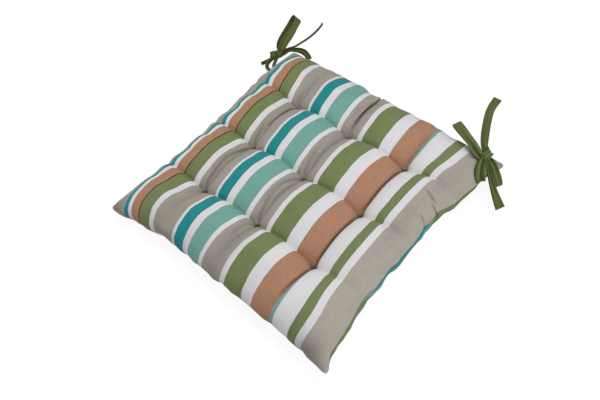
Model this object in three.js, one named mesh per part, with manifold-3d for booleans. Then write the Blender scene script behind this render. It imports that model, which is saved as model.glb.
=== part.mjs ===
// Square tufted chair pad with a bow tied at each of its two back corners.
// Millimetres, +Z up. X runs along the front edge, Y from front to back along
// the stripes, and the pad lies on its back on z = 0.
//
// The pad is worked out the way it is made: two square panels are sewn together
// round their edge, stitched through at a 3 x 3 grid of tufts and filled. The
// panels are grids of cloth that may not stretch, pushed apart by the filling
// and held together by the seam and the tufts, until they come to rest. The
// crown, the drawn-in sides, the channels and the flat spots underneath follow.

import * as THREE from 'three';
import { mergeVertices } from 'three/addons/utils/BufferGeometryUtils.js';
import Module from 'manifold-3d';

// ---------------------------------------------------------------- sizes ----
const PANEL_CUT = 418;         // each panel between its seams
const CELLS = 40;              // grid cells along a panel side, a multiple of 4
const TUFTS_PER_SIDE = 3;      // rows and columns of tufts, evenly spaced
const TUFT_GAP = 16;           // cloth to cloth where the tuft thread pulls
const SEAM_ROLL = 12;          // how far the seam lies below mid thickness
const FULLNESS = { left: 7, right: 3, front: 9, back: 15 }; // extra cloth there
const EDGE_BAND = 0.07;        // width of the edge band, share of the panel
const CORNER_FADE = 0.22;      // roll and fullness fade out towards corners

// filling and cloth, in the solver's own units
const FILL_PRESSURE = 0.006;
const CLOTH_WEIGHT = 0.0003;
const FILL_WEIGHT = 0.0003;
const SHEAR = 0.05;            // stiffness of the weave on the diagonal
const BEND = 0.02;
const COMPRESSION = 0.05;      // cloth gives way when pushed together
const SEAM_COMPRESSION = 1;    // but the seam, with its four layers, does not
const DAMPING = 0.97;
const STEPS = 420;
const SWEEPS = 4;
const EDGE_SMOOTHING = { passes: 12, width: 0.14, pull: 0.5, push: -0.53 };

// ties: flat folded strips, two at each back corner, one sewn into the seam on
// either side of the tip, knotted together in a bow
const TIE_WIDTH = 14;
const TIE_THICK = 1.6;         // two layers of cloth and the turned edges
const PASS_GAP = 0.5;          // between the two ties inside a knot
const ROUTE_STEPS = 2;         // sections between two rows of a route

// Each bow leans back. Its rows are measured from the knot: right, up along the
// lean, and out of the lean. `wide` and `thick` are shares of the tie's flat
// width and thickness, less and more where it is gathered, and `turn` is the
// angle of the strip's face away from straight out.
const LEAN = { turn: 46.7, rise: 53.4, roll: -7.6 };   // degrees
const BOWS = {
  right: {
    at: [179.8, 180.3, 55.4],
    knot: { right: 10, up: 9, out: 7.5, tilt: -40 },
    wrapped: {
      name: 'tie_right_side',
      strips: {
        core: [
          { right: -7, up: 7, out: 1, wide: 0.5, thick: 2.4, turn: 0 },
          { right: 3, up: -9, out: 1, wide: 0.5, thick: 2.4, turn: 0 },
        ],
        strand: [
          { right: -1, up: -5, out: 1, wide: 0.5, thick: 1.6, turn: 0 },
          { right: -4, up: -13, out: 5.5, wide: 0.55, thick: 1, turn: 0 },
          { right: -7, up: -22, out: 8, wide: 0.6, thick: 1, turn: -8 },
          { right: -8.5, up: -31, out: 5.5, wide: 0.7, thick: 1, turn: -8 },
          { right: -8.5, up: -38, out: 0, wide: 0.8, thick: 1, turn: -8 },
        ],
        tail: [
          { right: 2, up: -6, out: 2, wide: 0.5, thick: 1.6, turn: 0 },
          { right: 4, up: -18, out: 5.5, wide: 0.55, thick: 1, turn: 20 },
          { right: 7, up: -34, out: 5.5, wide: 0.65, thick: 1, turn: 25 },
          { right: 12, up: -53, out: 4, wide: 0.8, thick: 1, turn: 15 },
          { right: 20, up: -74, out: 1.5, wide: 1, thick: 1, turn: 0 },
        ],
        loop: [
          { right: -4, up: 4, out: 1.5, wide: 0.5, thick: 1.6, turn: 0 },
          { right: -12, up: 13, out: 3, wide: 0.65, thick: 1, turn: 0 },
          { right: -26.5, up: 28, out: -3, wide: 0.85, thick: 1, turn: 0 },
          { right: -34, up: 41, out: -12, wide: 1, thick: 1, turn: 0 },
          { right: -36, up: 47, out: -19, wide: 1, thick: 1, turn: 0 },
          { right: -32, up: 43.5, out: -24, wide: 1, thick: 1, turn: 0 },
          { right: -22, up: 30, out: -15, wide: 0.85, thick: 1, turn: 0 },
          { right: -11.5, up: 16, out: -4.5, wide: 0.65, thick: 1, turn: 0 },
          { right: -4, up: 5, out: 0, wide: 0.5, thick: 1.6, turn: 0 },
        ],
      },
    },
    knotted: {
      name: 'tie_right_back',
      strips: {
        strand: [
          { right: 1, up: 5, out: -4, wide: 0.6, thick: 1.6, turn: 0 },
          { right: 2, up: 12, out: -14, wide: 0.7, thick: 1, turn: 0 },
          { right: 3, up: 13.5, out: -29, wide: 0.8, thick: 1, turn: 0 },
          { right: 3, up: 8.5, out: -37, wide: 0.9, thick: 1, turn: 0 },
        ],
        tail: [
          { right: 0, up: 5, out: 0, wide: 0.55, thick: 1.6, turn: 0 },
          { right: 1, up: 16, out: -3, wide: 0.65, thick: 1, turn: 0 },
          { right: 6, up: 36, out: -14, wide: 0.75, thick: 1, turn: -10 },
          { right: 13, up: 55.5, out: -30, wide: 0.8, thick: 1, turn: -10 },
          { right: 21, up: 70, out: -42, wide: 0.85, thick: 1, turn: 0 },
          { right: 33, up: 86, out: -54, wide: 0.95, thick: 1, turn: 0 },
        ],
        loop: [
          { right: 4, up: -3, out: -2, wide: 0.55, thick: 1.6, turn: 0 },
          { right: 10.5, up: -18, out: -1, wide: 0.7, thick: 1, turn: 0 },
          { right: 15, up: -33, out: -2, wide: 0.9, thick: 1, turn: 0 },
          { right: 17, up: -43, out: -5.5, wide: 1, thick: 1, turn: 0 },
          { right: 16, up: -40, out: -11, wide: 1, thick: 1, turn: 0 },
          { right: 14.5, up: -25, out: -7.5, wide: 0.8, thick: 1, turn: 0 },
          { right: 5, up: -3, out: -4, wide: 0.55, thick: 1.6, turn: 0 },
        ],
      },
    },
  },
  left: {
    at: [-211, 174, 36],
    knot: { right: 11.5, up: 7, out: 7, tilt: 12 },
    wrapped: {
      name: 'tie_left_back',
      strips: {
        core: [
          { right: -3, up: 0, out: 0, wide: 0.5, thick: 2.4, turn: 0 },
          { right: 11, up: 3.5, out: 0, wide: 0.5, thick: 2.4, turn: 0 },
        ],
        strand: [
          { right: 7, up: 1, out: -1, wide: 0.5, thick: 1.6, turn: 0 },
          { right: 17, up: 3, out: -1, wide: 0.5, thick: 1, turn: 20 },
          { right: 28, up: 7, out: 1, wide: 0.55, thick: 1, turn: 40 },
          { right: 38, up: 7, out: 4, wide: 0.55, thick: 1, turn: 30 },
          { right: 47, up: 2.5, out: 6, wide: 0.6, thick: 1, turn: 10 },
          { right: 51.5, up: -5.5, out: 5, wide: 0.75, thick: 1, turn: 0 },
          { right: 52.5, up: -12.5, out: 3.5, wide: 0.9, thick: 1, turn: 0 },
        ],
        loop: [
          { right: 5, up: 2, out: 1, wide: 0.5, thick: 1.6, turn: 0 },
          { right: 11, up: 19, out: 2, wide: 0.85, thick: 1, turn: 20 },
          { right: 24, up: 41, out: -7, wide: 1, thick: 1, turn: 30 },
          { right: 35, up: 58, out: -18, wide: 1, thick: 1, turn: 30 },
          { right: 34.5, up: 64, out: -24, wide: 1, thick: 1, turn: 30 },
          { right: 24.5, up: 60, out: -26, wide: 1, thick: 1, turn: 30 },
          { right: 11, up: 43, out: -18, wide: 1, thick: 1, turn: 30 },
          { right: 5, up: 21, out: -5, wide: 0.85, thick: 1, turn: 20 },
          { right: 4, up: 3, out: -1, wide: 0.5, thick: 1.6, turn: 0 },
        ],
      },
    },
    knotted: {
      name: 'tie_left_side',
      strips: {
        strand: [
          { right: -4, up: -3, out: 0, wide: 0.5, thick: 1.6, turn: 0 },
          { right: -13, up: -10, out: -1, wide: 0.55, thick: 1, turn: -20 },
          { right: -14, up: -19, out: 1, wide: 0.6, thick: 1, turn: -20 },
          { right: -9, up: -27, out: 4, wide: 0.7, thick: 1, turn: -20 },
          { right: -1, up: -32.5, out: 8, wide: 0.75, thick: 1, turn: -10 },
          { right: 5.5, up: -36, out: 11, wide: 0.85, thick: 1, turn: 0 },
        ],
        end: [
          { right: -6, up: -1, out: -1, wide: 0.5, thick: 1.6, turn: 0 },
          { right: -14, up: -4, out: -8, wide: 0.5, thick: 1, turn: 0 },
          { right: -25, up: -11, out: -20, wide: 0.45, thick: 1, turn: 0 },
        ],
        tail: [
          { right: 2, up: 3, out: -4, wide: 0.5, thick: 1.6, turn: 0 },
          { right: 14, up: 7.5, out: -11, wide: 0.7, thick: 1, turn: 60 },
          { right: 28, up: 14, out: -15, wide: 0.9, thick: 1, turn: 92 },
          { right: 51, up: 29, out: -18, wide: 1, thick: 1, turn: 92 },
          { right: 69, up: 47, out: -20, wide: 1, thick: 1, turn: 92 },
          { right: 78, up: 56.5, out: -20, wide: 1, thick: 1, turn: 92 },
        ],
      },
    },
  },
};

const COLOURS = {
  cloth: '#b9b09c',
  tie: '#4f6435',
};

// ------------------------------------------------------------ the panels ----
const N = CELLS + 1;
const H = PANEL_CUT / CELLS;
const TUFT_STEP = CELLS / (TUFTS_PER_SIDE + 1);
const TOP = 0, BOTTOM = 1;
const at = (panel, i, j) => ((panel * N + i) * N + j) * 3;
const onEdge = (i, j) => i === 0 || j === 0 || i === CELLS || j === CELLS;

const X = new Float64Array(2 * N * N * 3);
const PREV = new Float64Array(X.length);
const PUSH = new Float64Array(X.length);

function layOut() {
  for (const panel of [TOP, BOTTOM]) {
    for (let i = 0; i < N; i++) {
      for (let j = 0; j < N; j++) {
        const u = i / CELLS - 0.5, v = j / CELLS - 0.5, p = at(panel, i, j);
        const bump = 6 * Math.cos(u * Math.PI) * Math.cos(v * Math.PI);
        X[p] = u * PANEL_CUT;
        X[p + 1] = v * PANEL_CUT;
        X[p + 2] = 30 + (panel === TOP ? bump : -bump);
      }
    }
  }
  PREV.set(X);
}

// rest length of the k-th cell of a thread, `across` cells along the other way
function restLength(panel, k, across, first, last) {
  const band = Math.max(1, Math.round(EDGE_BAND * CELLS));
  if (k >= band && k < CELLS - band) return H;
  const fullness = k < band ? first : last;
  const t = Math.min(1, Math.min(across, CELLS - across) / CELLS / CORNER_FADE);
  const fade = t * t * (3 - 2 * t);
  const roll = panel === TOP ? SEAM_ROLL : -SEAM_ROLL;
  return H + ((roll + fullness) / band) * fade;
}
const REST_X = [TOP, BOTTOM].map((p) => Array.from({ length: CELLS }, (_, i) =>
  Array.from({ length: N }, (_, j) => restLength(p, i, j, FULLNESS.left, FULLNESS.right))));
const REST_Y = [TOP, BOTTOM].map((p) => Array.from({ length: CELLS }, (_, j) =>
  Array.from({ length: N }, (_, i) => restLength(p, j, i, FULLNESS.front, FULLNESS.back))));

function hold(a, b, rest, stiffPull, stiffPush) {
  const dx = X[b] - X[a], dy = X[b + 1] - X[a + 1], dz = X[b + 2] - X[a + 2];
  const l = Math.sqrt(dx * dx + dy * dy + dz * dz) || 1e-9;
  const e = l - rest;
  const c = ((e > 0 ? stiffPull : stiffPush) * 0.5 * e) / l;
  X[a] += c * dx; X[a + 1] += c * dy; X[a + 2] += c * dz;
  X[b] -= c * dx; X[b + 1] -= c * dy; X[b + 2] -= c * dz;
}

function fillPressure() {
  PUSH.fill(0);
  const du = new THREE.Vector3(), dv = new THREE.Vector3();
  for (const panel of [TOP, BOTTOM]) {
    for (let i = 0; i < N; i++) {
      for (let j = 0; j < N; j++) {
        const i0 = Math.max(0, i - 1), i1 = Math.min(CELLS, i + 1);
        const j0 = Math.max(0, j - 1), j1 = Math.min(CELLS, j + 1);
        const a = at(panel, i0, j), b = at(panel, i1, j);
        const c = at(panel, i, j0), d = at(panel, i, j1);
        du.set(X[b] - X[a], X[b + 1] - X[a + 1], X[b + 2] - X[a + 2]).divideScalar(i1 - i0);
        dv.set(X[d] - X[c], X[d + 1] - X[c + 1], X[d + 2] - X[c + 2]).divideScalar(j1 - j0);
        du.cross(dv);
        const side = panel === TOP ? 1 : -1;
        const share = (i === 0 || i === CELLS ? 0.5 : 1) * (j === 0 || j === CELLS ? 0.5 : 1);
        const f = (FILL_PRESSURE * side * share) / (H * H), p = at(panel, i, j);
        PUSH[p] = f * du.x; PUSH[p + 1] = f * du.y; PUSH[p + 2] = f * du.z;
      }
    }
  }
  for (let i = 0; i < N; i++) {
    for (let j = 0; j < N; j++) {
      const a = at(TOP, i, j), b = at(BOTTOM, i, j);
      if (onEdge(i, j)) {
        for (let k = 0; k < 3; k++) PUSH[a + k] = PUSH[b + k] = (PUSH[a + k] + PUSH[b + k]) / 2;
      }
      PUSH[a + 2] -= CLOTH_WEIGHT;
      PUSH[b + 2] -= CLOTH_WEIGHT + FILL_WEIGHT;
    }
  }
}

function joinSeam() {
  for (let i = 0; i < N; i++) {
    for (let j = 0; j < N; j++) {
      if (!onEdge(i, j)) continue;
      const a = at(TOP, i, j), b = at(BOTTOM, i, j);
      for (let k = 0; k < 3; k++) X[a + k] = X[b + k] = (X[a + k] + X[b + k]) / 2;
    }
  }
}

function pullTufts() {
  for (let r = 1; r <= TUFTS_PER_SIDE; r++) {
    for (let s = 1; s <= TUFTS_PER_SIDE; s++) {
      const a = at(TOP, r * TUFT_STEP, s * TUFT_STEP);
      const b = at(BOTTOM, r * TUFT_STEP, s * TUFT_STEP);
      hold(a, b, TUFT_GAP, 1, 0);
    }
  }
}

function sweep() {
  for (const panel of [TOP, BOTTOM]) {
    for (const off of [0, 1]) {
      for (let i = off; i < CELLS; i += 2) {
        for (let j = 0; j < N; j++) {
          const give = j === 0 || j === CELLS ? SEAM_COMPRESSION : COMPRESSION;
          hold(at(panel, i, j), at(panel, i + 1, j), REST_X[panel][i][j], 1, give);
        }
      }
      for (let j = off; j < CELLS; j += 2) {
        for (let i = 0; i < N; i++) {
          const give = i === 0 || i === CELLS ? SEAM_COMPRESSION : COMPRESSION;
          hold(at(panel, i, j), at(panel, i, j + 1), REST_Y[panel][j][i], 1, give);
        }
      }
    }
    const diagonal = H * Math.SQRT2;
    for (let i = 0; i < CELLS; i++) {
      for (let j = 0; j < CELLS; j++) {
        hold(at(panel, i, j), at(panel, i + 1, j + 1), diagonal, SHEAR, SHEAR);
        hold(at(panel, i + 1, j), at(panel, i, j + 1), diagonal, SHEAR, SHEAR);
      }
    }
    for (const off of [0, 1]) {
      for (let i = 0; i + 2 < N; i++) {
        if ((i >> 1) % 2 !== off) continue;
        for (let j = 0; j < N; j++) {
          hold(at(panel, i, j), at(panel, i + 2, j), 2 * H, BEND, BEND);
          hold(at(panel, j, i), at(panel, j, i + 2), 2 * H, BEND, BEND);
        }
      }
    }
  }
  joinSeam();
  pullTufts();
  for (let p = 2; p < X.length; p += 3) if (X[p] < 0) X[p] = 0;
}

function settle() {
  layOut();
  for (let step = 0; step < STEPS; step++) {
    fillPressure();
    for (let p = 0; p < X.length; p++) {
      const v = (X[p] - PREV[p]) * DAMPING;
      PREV[p] = X[p];
      X[p] += v + PUSH[p] * H;
    }
    for (let k = 0; k < SWEEPS; k++) sweep();
    for (let p = 0; p < X.length; p += 3) {
      if (X[p + 2] > 0.001) continue;
      for (let k = 0; k < 3; k++) PREV[p + k] = (PREV[p + k] + X[p + k]) / 2;
    }
  }
}

// evens out the fine buckles that gather along the seam, keeping the size
function smoothEdges() {
  const { passes, width, pull, push } = EDGE_SMOOTHING;
  const near = (k) => Math.max(0, 1 - Math.min(k, CELLS - k) / CELLS / width) ** 0.7;
  for (let pass = 0; pass < passes; pass++) {
    for (const gain of [pull, push]) {
      const old = X.slice();
      for (const panel of [TOP, BOTTOM]) {
        for (let i = 0; i < N; i++) {
          for (let j = 0; j < N; j++) {
            const si = near(i), sj = near(j), p = at(panel, i, j);
            const alongJ = i === 0 || i === CELLS ? si : Math.max(si, sj / 2);
            const alongI = j === 0 || j === CELLS ? sj : Math.max(sj, si / 2);
            const useJ = j > 0 && j < CELLS, useI = i > 0 && i < CELLS;
            for (let k = 0; k < 3; k++) {
              let d = 0;
              if (useJ) {
                const m = (old[at(panel, i, j - 1) + k] + old[at(panel, i, j + 1) + k]) / 2;
                d += alongJ * (m - old[p + k]);
              }
              if (useI) {
                const m = (old[at(panel, i - 1, j) + k] + old[at(panel, i + 1, j) + k]) / 2;
                d += alongI * (m - old[p + k]);
              }
              X[p + k] = old[p + k] + gain * d;
            }
          }
        }
      }
    }
    joinSeam();
  }
  for (let p = 2; p < X.length; p += 3) X[p] = Math.max(0, X[p]);
}

function padGeometry() {
  settle();
  smoothEdges();
  const points = [], index = [];
  const id = new Int32Array(2 * N * N).fill(-1);
  const vertex = (panel, i, j) => {
    const from = onEdge(i, j) ? TOP : panel;
    const key = (from * N + i) * N + j;
    if (id[key] < 0) {
      id[key] = points.length / 3;
      const p = at(from, i, j);
      points.push(X[p], X[p + 1], X[p + 2]);
    }
    return id[key];
  };
  for (const panel of [TOP, BOTTOM]) {
    for (let i = 0; i < CELLS; i++) {
      for (let j = 0; j < CELLS; j++) {
        const a = vertex(panel, i, j), b = vertex(panel, i + 1, j);
        const c = vertex(panel, i + 1, j + 1), d = vertex(panel, i, j + 1);
        // both panels share a cut direction, so that corner cells stay solid
        const split = (i < CELLS / 2) === (j < CELLS / 2);
        const quads = split ? [[a, b, c], [a, c, d]] : [[a, b, d], [b, c, d]];
        for (const [p, q, r] of quads) index.push(...(panel === TOP ? [p, q, r] : [p, r, q]));
      }
    }
  }
  const geometry = new THREE.BufferGeometry();
  geometry.setAttribute('position', new THREE.Float32BufferAttribute(points, 3));
  geometry.setIndex(index);
  geometry.computeVertexNormals();
  return geometry;
}

// -------------------------------------------------------------- the ties ----
const wasm = await Module();
wasm.setup();

const rad = (d) => (d * Math.PI) / 180;

// the leaning frame: columns right, up and out
function leanFrame() {
  const out = new THREE.Vector3(
    Math.sin(rad(LEAN.turn)) * Math.cos(rad(LEAN.rise)),
    -Math.cos(rad(LEAN.turn)) * Math.cos(rad(LEAN.rise)),
    Math.sin(rad(LEAN.rise)),
  );
  const right = new THREE.Vector3(0, 0, 1).cross(out).normalize();
  const up = out.clone().cross(right);
  right.applyAxisAngle(out, rad(LEAN.roll));
  up.applyAxisAngle(out, rad(LEAN.roll));
  return new THREE.Matrix4().makeBasis(right, up, out);
}
const FRAME = leanFrame();

// a flat strip along the rows of a route, in the bow's own frame: each piece
// between two sections is the hull of the two
function stripSolid(rows, grow = 0) {
  const curve = new THREE.CatmullRomCurve3(
    rows.map((r) => new THREE.Vector3(r.right, r.up, r.out)), false, 'centripetal');
  const steps = (rows.length - 1) * ROUTE_STEPS;
  const sections = [];
  let face = null;
  for (let s = 0; s <= steps; s++) {
    const t = s / steps, k = Math.min(rows.length - 2, Math.floor(s / ROUTE_STEPS));
    const f = s / ROUTE_STEPS - k;
    const mix = (key) => rows[k][key] * (1 - f) + rows[k + 1][key] * f;
    const c = curve.getPoint(t), along = curve.getTangent(t);
    if (grow) c.addScaledVector(along, s === 0 ? -grow : s === steps ? grow : 0);
    // the face starts straight out and is carried along the route
    if (!face) face = Math.abs(along.z) > 0.8 ? new THREE.Vector3(0, 1, 0) : new THREE.Vector3(0, 0, 1);
    face.addScaledVector(along, -face.dot(along)).normalize();
    const normal = face.clone().applyAxisAngle(along, rad(mix('turn')));
    const side = along.clone().cross(normal).normalize();
    const w = (mix('wide') * TIE_WIDTH) / 2 + grow, h = (mix('thick') * TIE_THICK) / 2 + grow;
    sections.push([[-w, -h], [w, -h], [w, h], [-w, h]].map(([a, b]) =>
      c.clone().addScaledVector(side, a).addScaledVector(normal, b).toArray()));
  }
  const pieces = sections.slice(1).map((section, s) => wasm.Manifold.hull([...sections[s], ...section]));
  return wasm.Manifold.union(pieces);
}

function placed(solid, at) {
  const m = FRAME.clone().setPosition(...at);
  return solid.transform(Array.from(m.elements));
}

function geometryOf(solid) {
  const mesh = solid.getMesh();
  const geometry = new THREE.BufferGeometry();
  const positions = [];
  for (let v = 0; v < mesh.vertProperties.length; v += mesh.numProp) {
    positions.push(...mesh.vertProperties.slice(v, v + 3));
  }
  geometry.setAttribute('position', new THREE.Float32BufferAttribute(positions, 3));
  geometry.setIndex(Array.from(mesh.triVerts));
  const merged = mergeVertices(geometry, 1e-4);
  merged.computeVertexNormals();
  return merged;
}

// the joins and the cut leave crumbs behind; only the tie itself is kept
function largest(solid) {
  return solid.decompose().reduce((a, b) => (b.volume() > a.volume() ? b : a)).simplify(0.02);
}

// one tie runs through the knot, the other is the knot and goes round it
function tieSolids(bow) {
  const through = Object.values(bow.wrapped.strips);
  const around = Object.values(bow.knotted.strips);
  const inner = wasm.Manifold.union(through.map((rows) => stripSolid(rows)));
  const passage = wasm.Manifold.union(through.map((rows) => stripSolid(rows, PASS_GAP)));
  const { right, up, out, tilt } = bow.knot;
  const knot = wasm.Manifold.sphere(1, 16).scale([right, up, out]).rotate([0, 0, tilt]);
  const outer = wasm.Manifold.union([knot, ...around.map((rows) => stripSolid(rows))]).subtract(passage);
  return [[bow.wrapped.name, inner], [bow.knotted.name, outer]]
    .map(([name, solid]) => [name, placed(largest(solid), bow.at)]);
}

// ---------------------------------------------------------------- output ----
const group = new THREE.Group();

function addPart(name, geometry, colour, roughness) {
  const material = new THREE.MeshStandardMaterial({ color: colour, roughness, metalness: 0 });
  const mesh = new THREE.Mesh(geometry, material);
  mesh.name = name;
  group.add(mesh);
  return mesh;
}

addPart('pad', padGeometry(), COLOURS.cloth, 0.92);
for (const bow of Object.values(BOWS)) {
  for (const [name, solid] of tieSolids(bow)) addPart(name, geometryOf(solid), COLOURS.tie, 0.9);
}

// the origin is the bottom centre of the whole object
const whole = new THREE.Box3().setFromObject(group);
const middle = whole.getCenter(new THREE.Vector3());
for (const mesh of group.children) mesh.geometry.translate(-middle.x, -middle.y, -whole.min.z);

export default group;
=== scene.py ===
"""The looks of a square tufted chair pad with tied bows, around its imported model.

All lengths in the tables are millimetres. The pad's cloth is worked out as it is in the
model, by relaxing two sewn, tufted and filled panels, and then again on finer grids.
"""
import math

import bpy
import numpy as np
from mathutils import Matrix, Vector


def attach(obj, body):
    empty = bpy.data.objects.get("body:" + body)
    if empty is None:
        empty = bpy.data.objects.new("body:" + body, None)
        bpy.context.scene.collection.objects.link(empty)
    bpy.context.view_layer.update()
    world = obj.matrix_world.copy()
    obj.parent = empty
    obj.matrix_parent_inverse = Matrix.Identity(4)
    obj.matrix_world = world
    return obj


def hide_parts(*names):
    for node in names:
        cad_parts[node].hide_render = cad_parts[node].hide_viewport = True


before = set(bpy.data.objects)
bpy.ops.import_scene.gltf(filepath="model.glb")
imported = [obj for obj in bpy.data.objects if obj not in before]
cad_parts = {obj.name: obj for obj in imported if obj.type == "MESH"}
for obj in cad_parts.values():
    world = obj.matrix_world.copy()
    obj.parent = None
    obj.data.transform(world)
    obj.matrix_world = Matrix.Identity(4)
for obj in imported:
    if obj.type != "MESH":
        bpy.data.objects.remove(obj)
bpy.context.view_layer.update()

# ------------------------------------------------------------------ sizes ----
SHIFT = np.array([0.6707, -39.3902, 0.0])   # pad centre to the row's origin

CUT = 418.0          # each panel between its seams
TUFT_GAP = 16.0
SEAM_ROLL = 12.0
FULLNESS = {"left": 7.0, "right": 3.0, "front": 9.0, "back": 15.0}
EDGE_BAND = 0.07
CORNER_FADE = 0.22
FILL = 0.006
CLOTH_WEIGHT = 0.0003
FILL_WEIGHT = 0.0003

# one row for each pass of the solver, each on a grid twice as fine as the last
PASSES = [
    {"cells": 40, "steps": 420, "bend": 0.020, "give": 0.05, "fill": 0.0060, "tuft_half": 0},
    {"cells": 80, "steps": 140, "bend": 0.030, "give": 0.12, "fill": 0.0056, "tuft_half": 0},
    {"cells": 160, "steps": 90, "bend": 0.040, "give": 0.25, "fill": 0.0054, "tuft_half": 1},
]

# how far the cloth dips between the tufts, along the lines that join them: one row for
# each point of a line, "at" its share of the way from the left or the front seam
ROW_DIPS = [
    {"at": 0.00, "row_1": 0.5, "row_2": 1.0, "row_3": 1.0},
    {"at": 0.06, "row_1": 3.0, "row_2": 4.0, "row_3": 4.0},
    {"at": 0.15, "row_1": 5.0, "row_2": 5.5, "row_3": 5.5},
    {"at": 0.25, "row_1": 5.5, "row_2": 5.5, "row_3": 5.5},
    {"at": 0.75, "row_1": 5.0, "row_2": 5.0, "row_3": 5.5},
    {"at": 0.85, "row_1": 1.5, "row_2": 2.5, "row_3": 4.0},
    {"at": 0.94, "row_1": 0.0, "row_2": 1.0, "row_3": 2.5},
    {"at": 1.00, "row_1": 0.0, "row_2": 0.0, "row_3": 0.0},
]
COLUMN_DIPS = [
    {"at": 0.00, "column_1": 0.0, "column_2": 0.0, "column_3": 0.0},
    {"at": 0.12, "column_1": 1.0, "column_2": 2.0, "column_3": 2.5},
    {"at": 0.25, "column_1": 4.0, "column_2": 4.0, "column_3": 8.0},
    {"at": 0.50, "column_1": 4.0, "column_2": 4.0, "column_3": 8.0},
    {"at": 0.75, "column_1": 4.0, "column_2": 5.0, "column_3": 6.0},
    {"at": 0.88, "column_1": 2.0, "column_2": 7.0, "column_3": 2.0},
    {"at": 1.00, "column_1": 0.0, "column_2": 3.0, "column_3": 0.0},
]

# how far the filled edges stand out beyond the sewn square's own shape, or in: "at" is the
# share of the way from the front, or for the front and back sides from the left
EDGE_MOVES = {
    "left": [
        {"at": 0.00, "out": 0.0}, {"at": 0.10, "out": -1.2}, {"at": 0.16, "out": -3.0}, {"at": 0.22, "out": -6.0},
        {"at": 0.30, "out": -7.0}, {"at": 0.36, "out": -3.6}, {"at": 0.50, "out": -3.4}, {"at": 0.58, "out": 0.4},
        {"at": 0.66, "out": 5.5}, {"at": 0.73, "out": 6.5}, {"at": 0.80, "out": 10.5}, {"at": 0.88, "out": 6.0},
        {"at": 1.00, "out": 0.0},
    ],
    "right": [
        {"at": 0.00, "out": 0.0}, {"at": 0.05, "out": -3.4}, {"at": 0.08, "out": 0.6}, {"at": 0.12, "out": 3.4}, {"at": 0.18, "out": 2.8}, {"at": 0.26, "out": -3.2},
        {"at": 0.31, "out": 2.2}, {"at": 0.38, "out": -0.8}, {"at": 0.54, "out": 0.4}, {"at": 0.63, "out": -2.2},
        {"at": 0.67, "out": -1.0}, {"at": 0.71, "out": 2.2}, {"at": 0.79, "out": 6.0}, {"at": 0.86, "out": 6.6},
        {"at": 0.92, "out": 3.0}, {"at": 1.00, "out": 0.6},
    ],
    "front": [
        {"at": 0.00, "out": 0.0}, {"at": 0.03, "out": 1.4}, {"at": 0.06, "out": 1.4}, {"at": 0.09, "out": 0.4}, {"at": 0.14, "out": 3.2}, {"at": 0.21, "out": -1.4},
        {"at": 0.28, "out": 2.0}, {"at": 0.34, "out": 2.0}, {"at": 0.42, "out": 6.8}, {"at": 0.50, "out": 5.4},
        {"at": 0.56, "out": 8.4}, {"at": 0.66, "out": 6.4}, {"at": 0.70, "out": 9.2}, {"at": 0.76, "out": 5.4},
        {"at": 0.82, "out": 5.8}, {"at": 0.90, "out": 4.8}, {"at": 0.95, "out": -0.6}, {"at": 1.00, "out": 0.0},
    ],
    "back": [
        {"at": 0.00, "out": 0.0}, {"at": 0.10, "out": -0.8}, {"at": 0.15, "out": 4.8}, {"at": 0.22, "out": 2.6},
        {"at": 0.30, "out": 9.6}, {"at": 0.42, "out": 11.0}, {"at": 0.46, "out": -2.5}, {"at": 0.50, "out": 0.4},
        {"at": 0.55, "out": 6.2}, {"at": 0.66, "out": 8.0}, {"at": 0.74, "out": 6.2}, {"at": 0.80, "out": 2.0},
        {"at": 0.88, "out": -0.6}, {"at": 1.00, "out": 0.0},
    ],
}
EDGE_REACH = 46.0
# each corner: how much of it is rounded where it is turned right side out, and where it
# ends up against the sewn shape, in millimetres to the right, the back and up
CORNERS = [
    {"u": 0, "v": 0, "round": 14.0, "reach": 30, "move": (-0.2, 1.6, 0.0)},
    {"u": 418, "v": 0, "round": 11.5, "reach": 30, "move": (6.0, 0.2, -1.0)},
    {"u": 0, "v": 418, "round": 14.0, "reach": 30, "move": (0.0, 0.0, 0.0)},
    {"u": 418, "v": 418, "round": 14.0, "reach": 34, "move": (5.6, 4.8, -6.0)},
]

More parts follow.
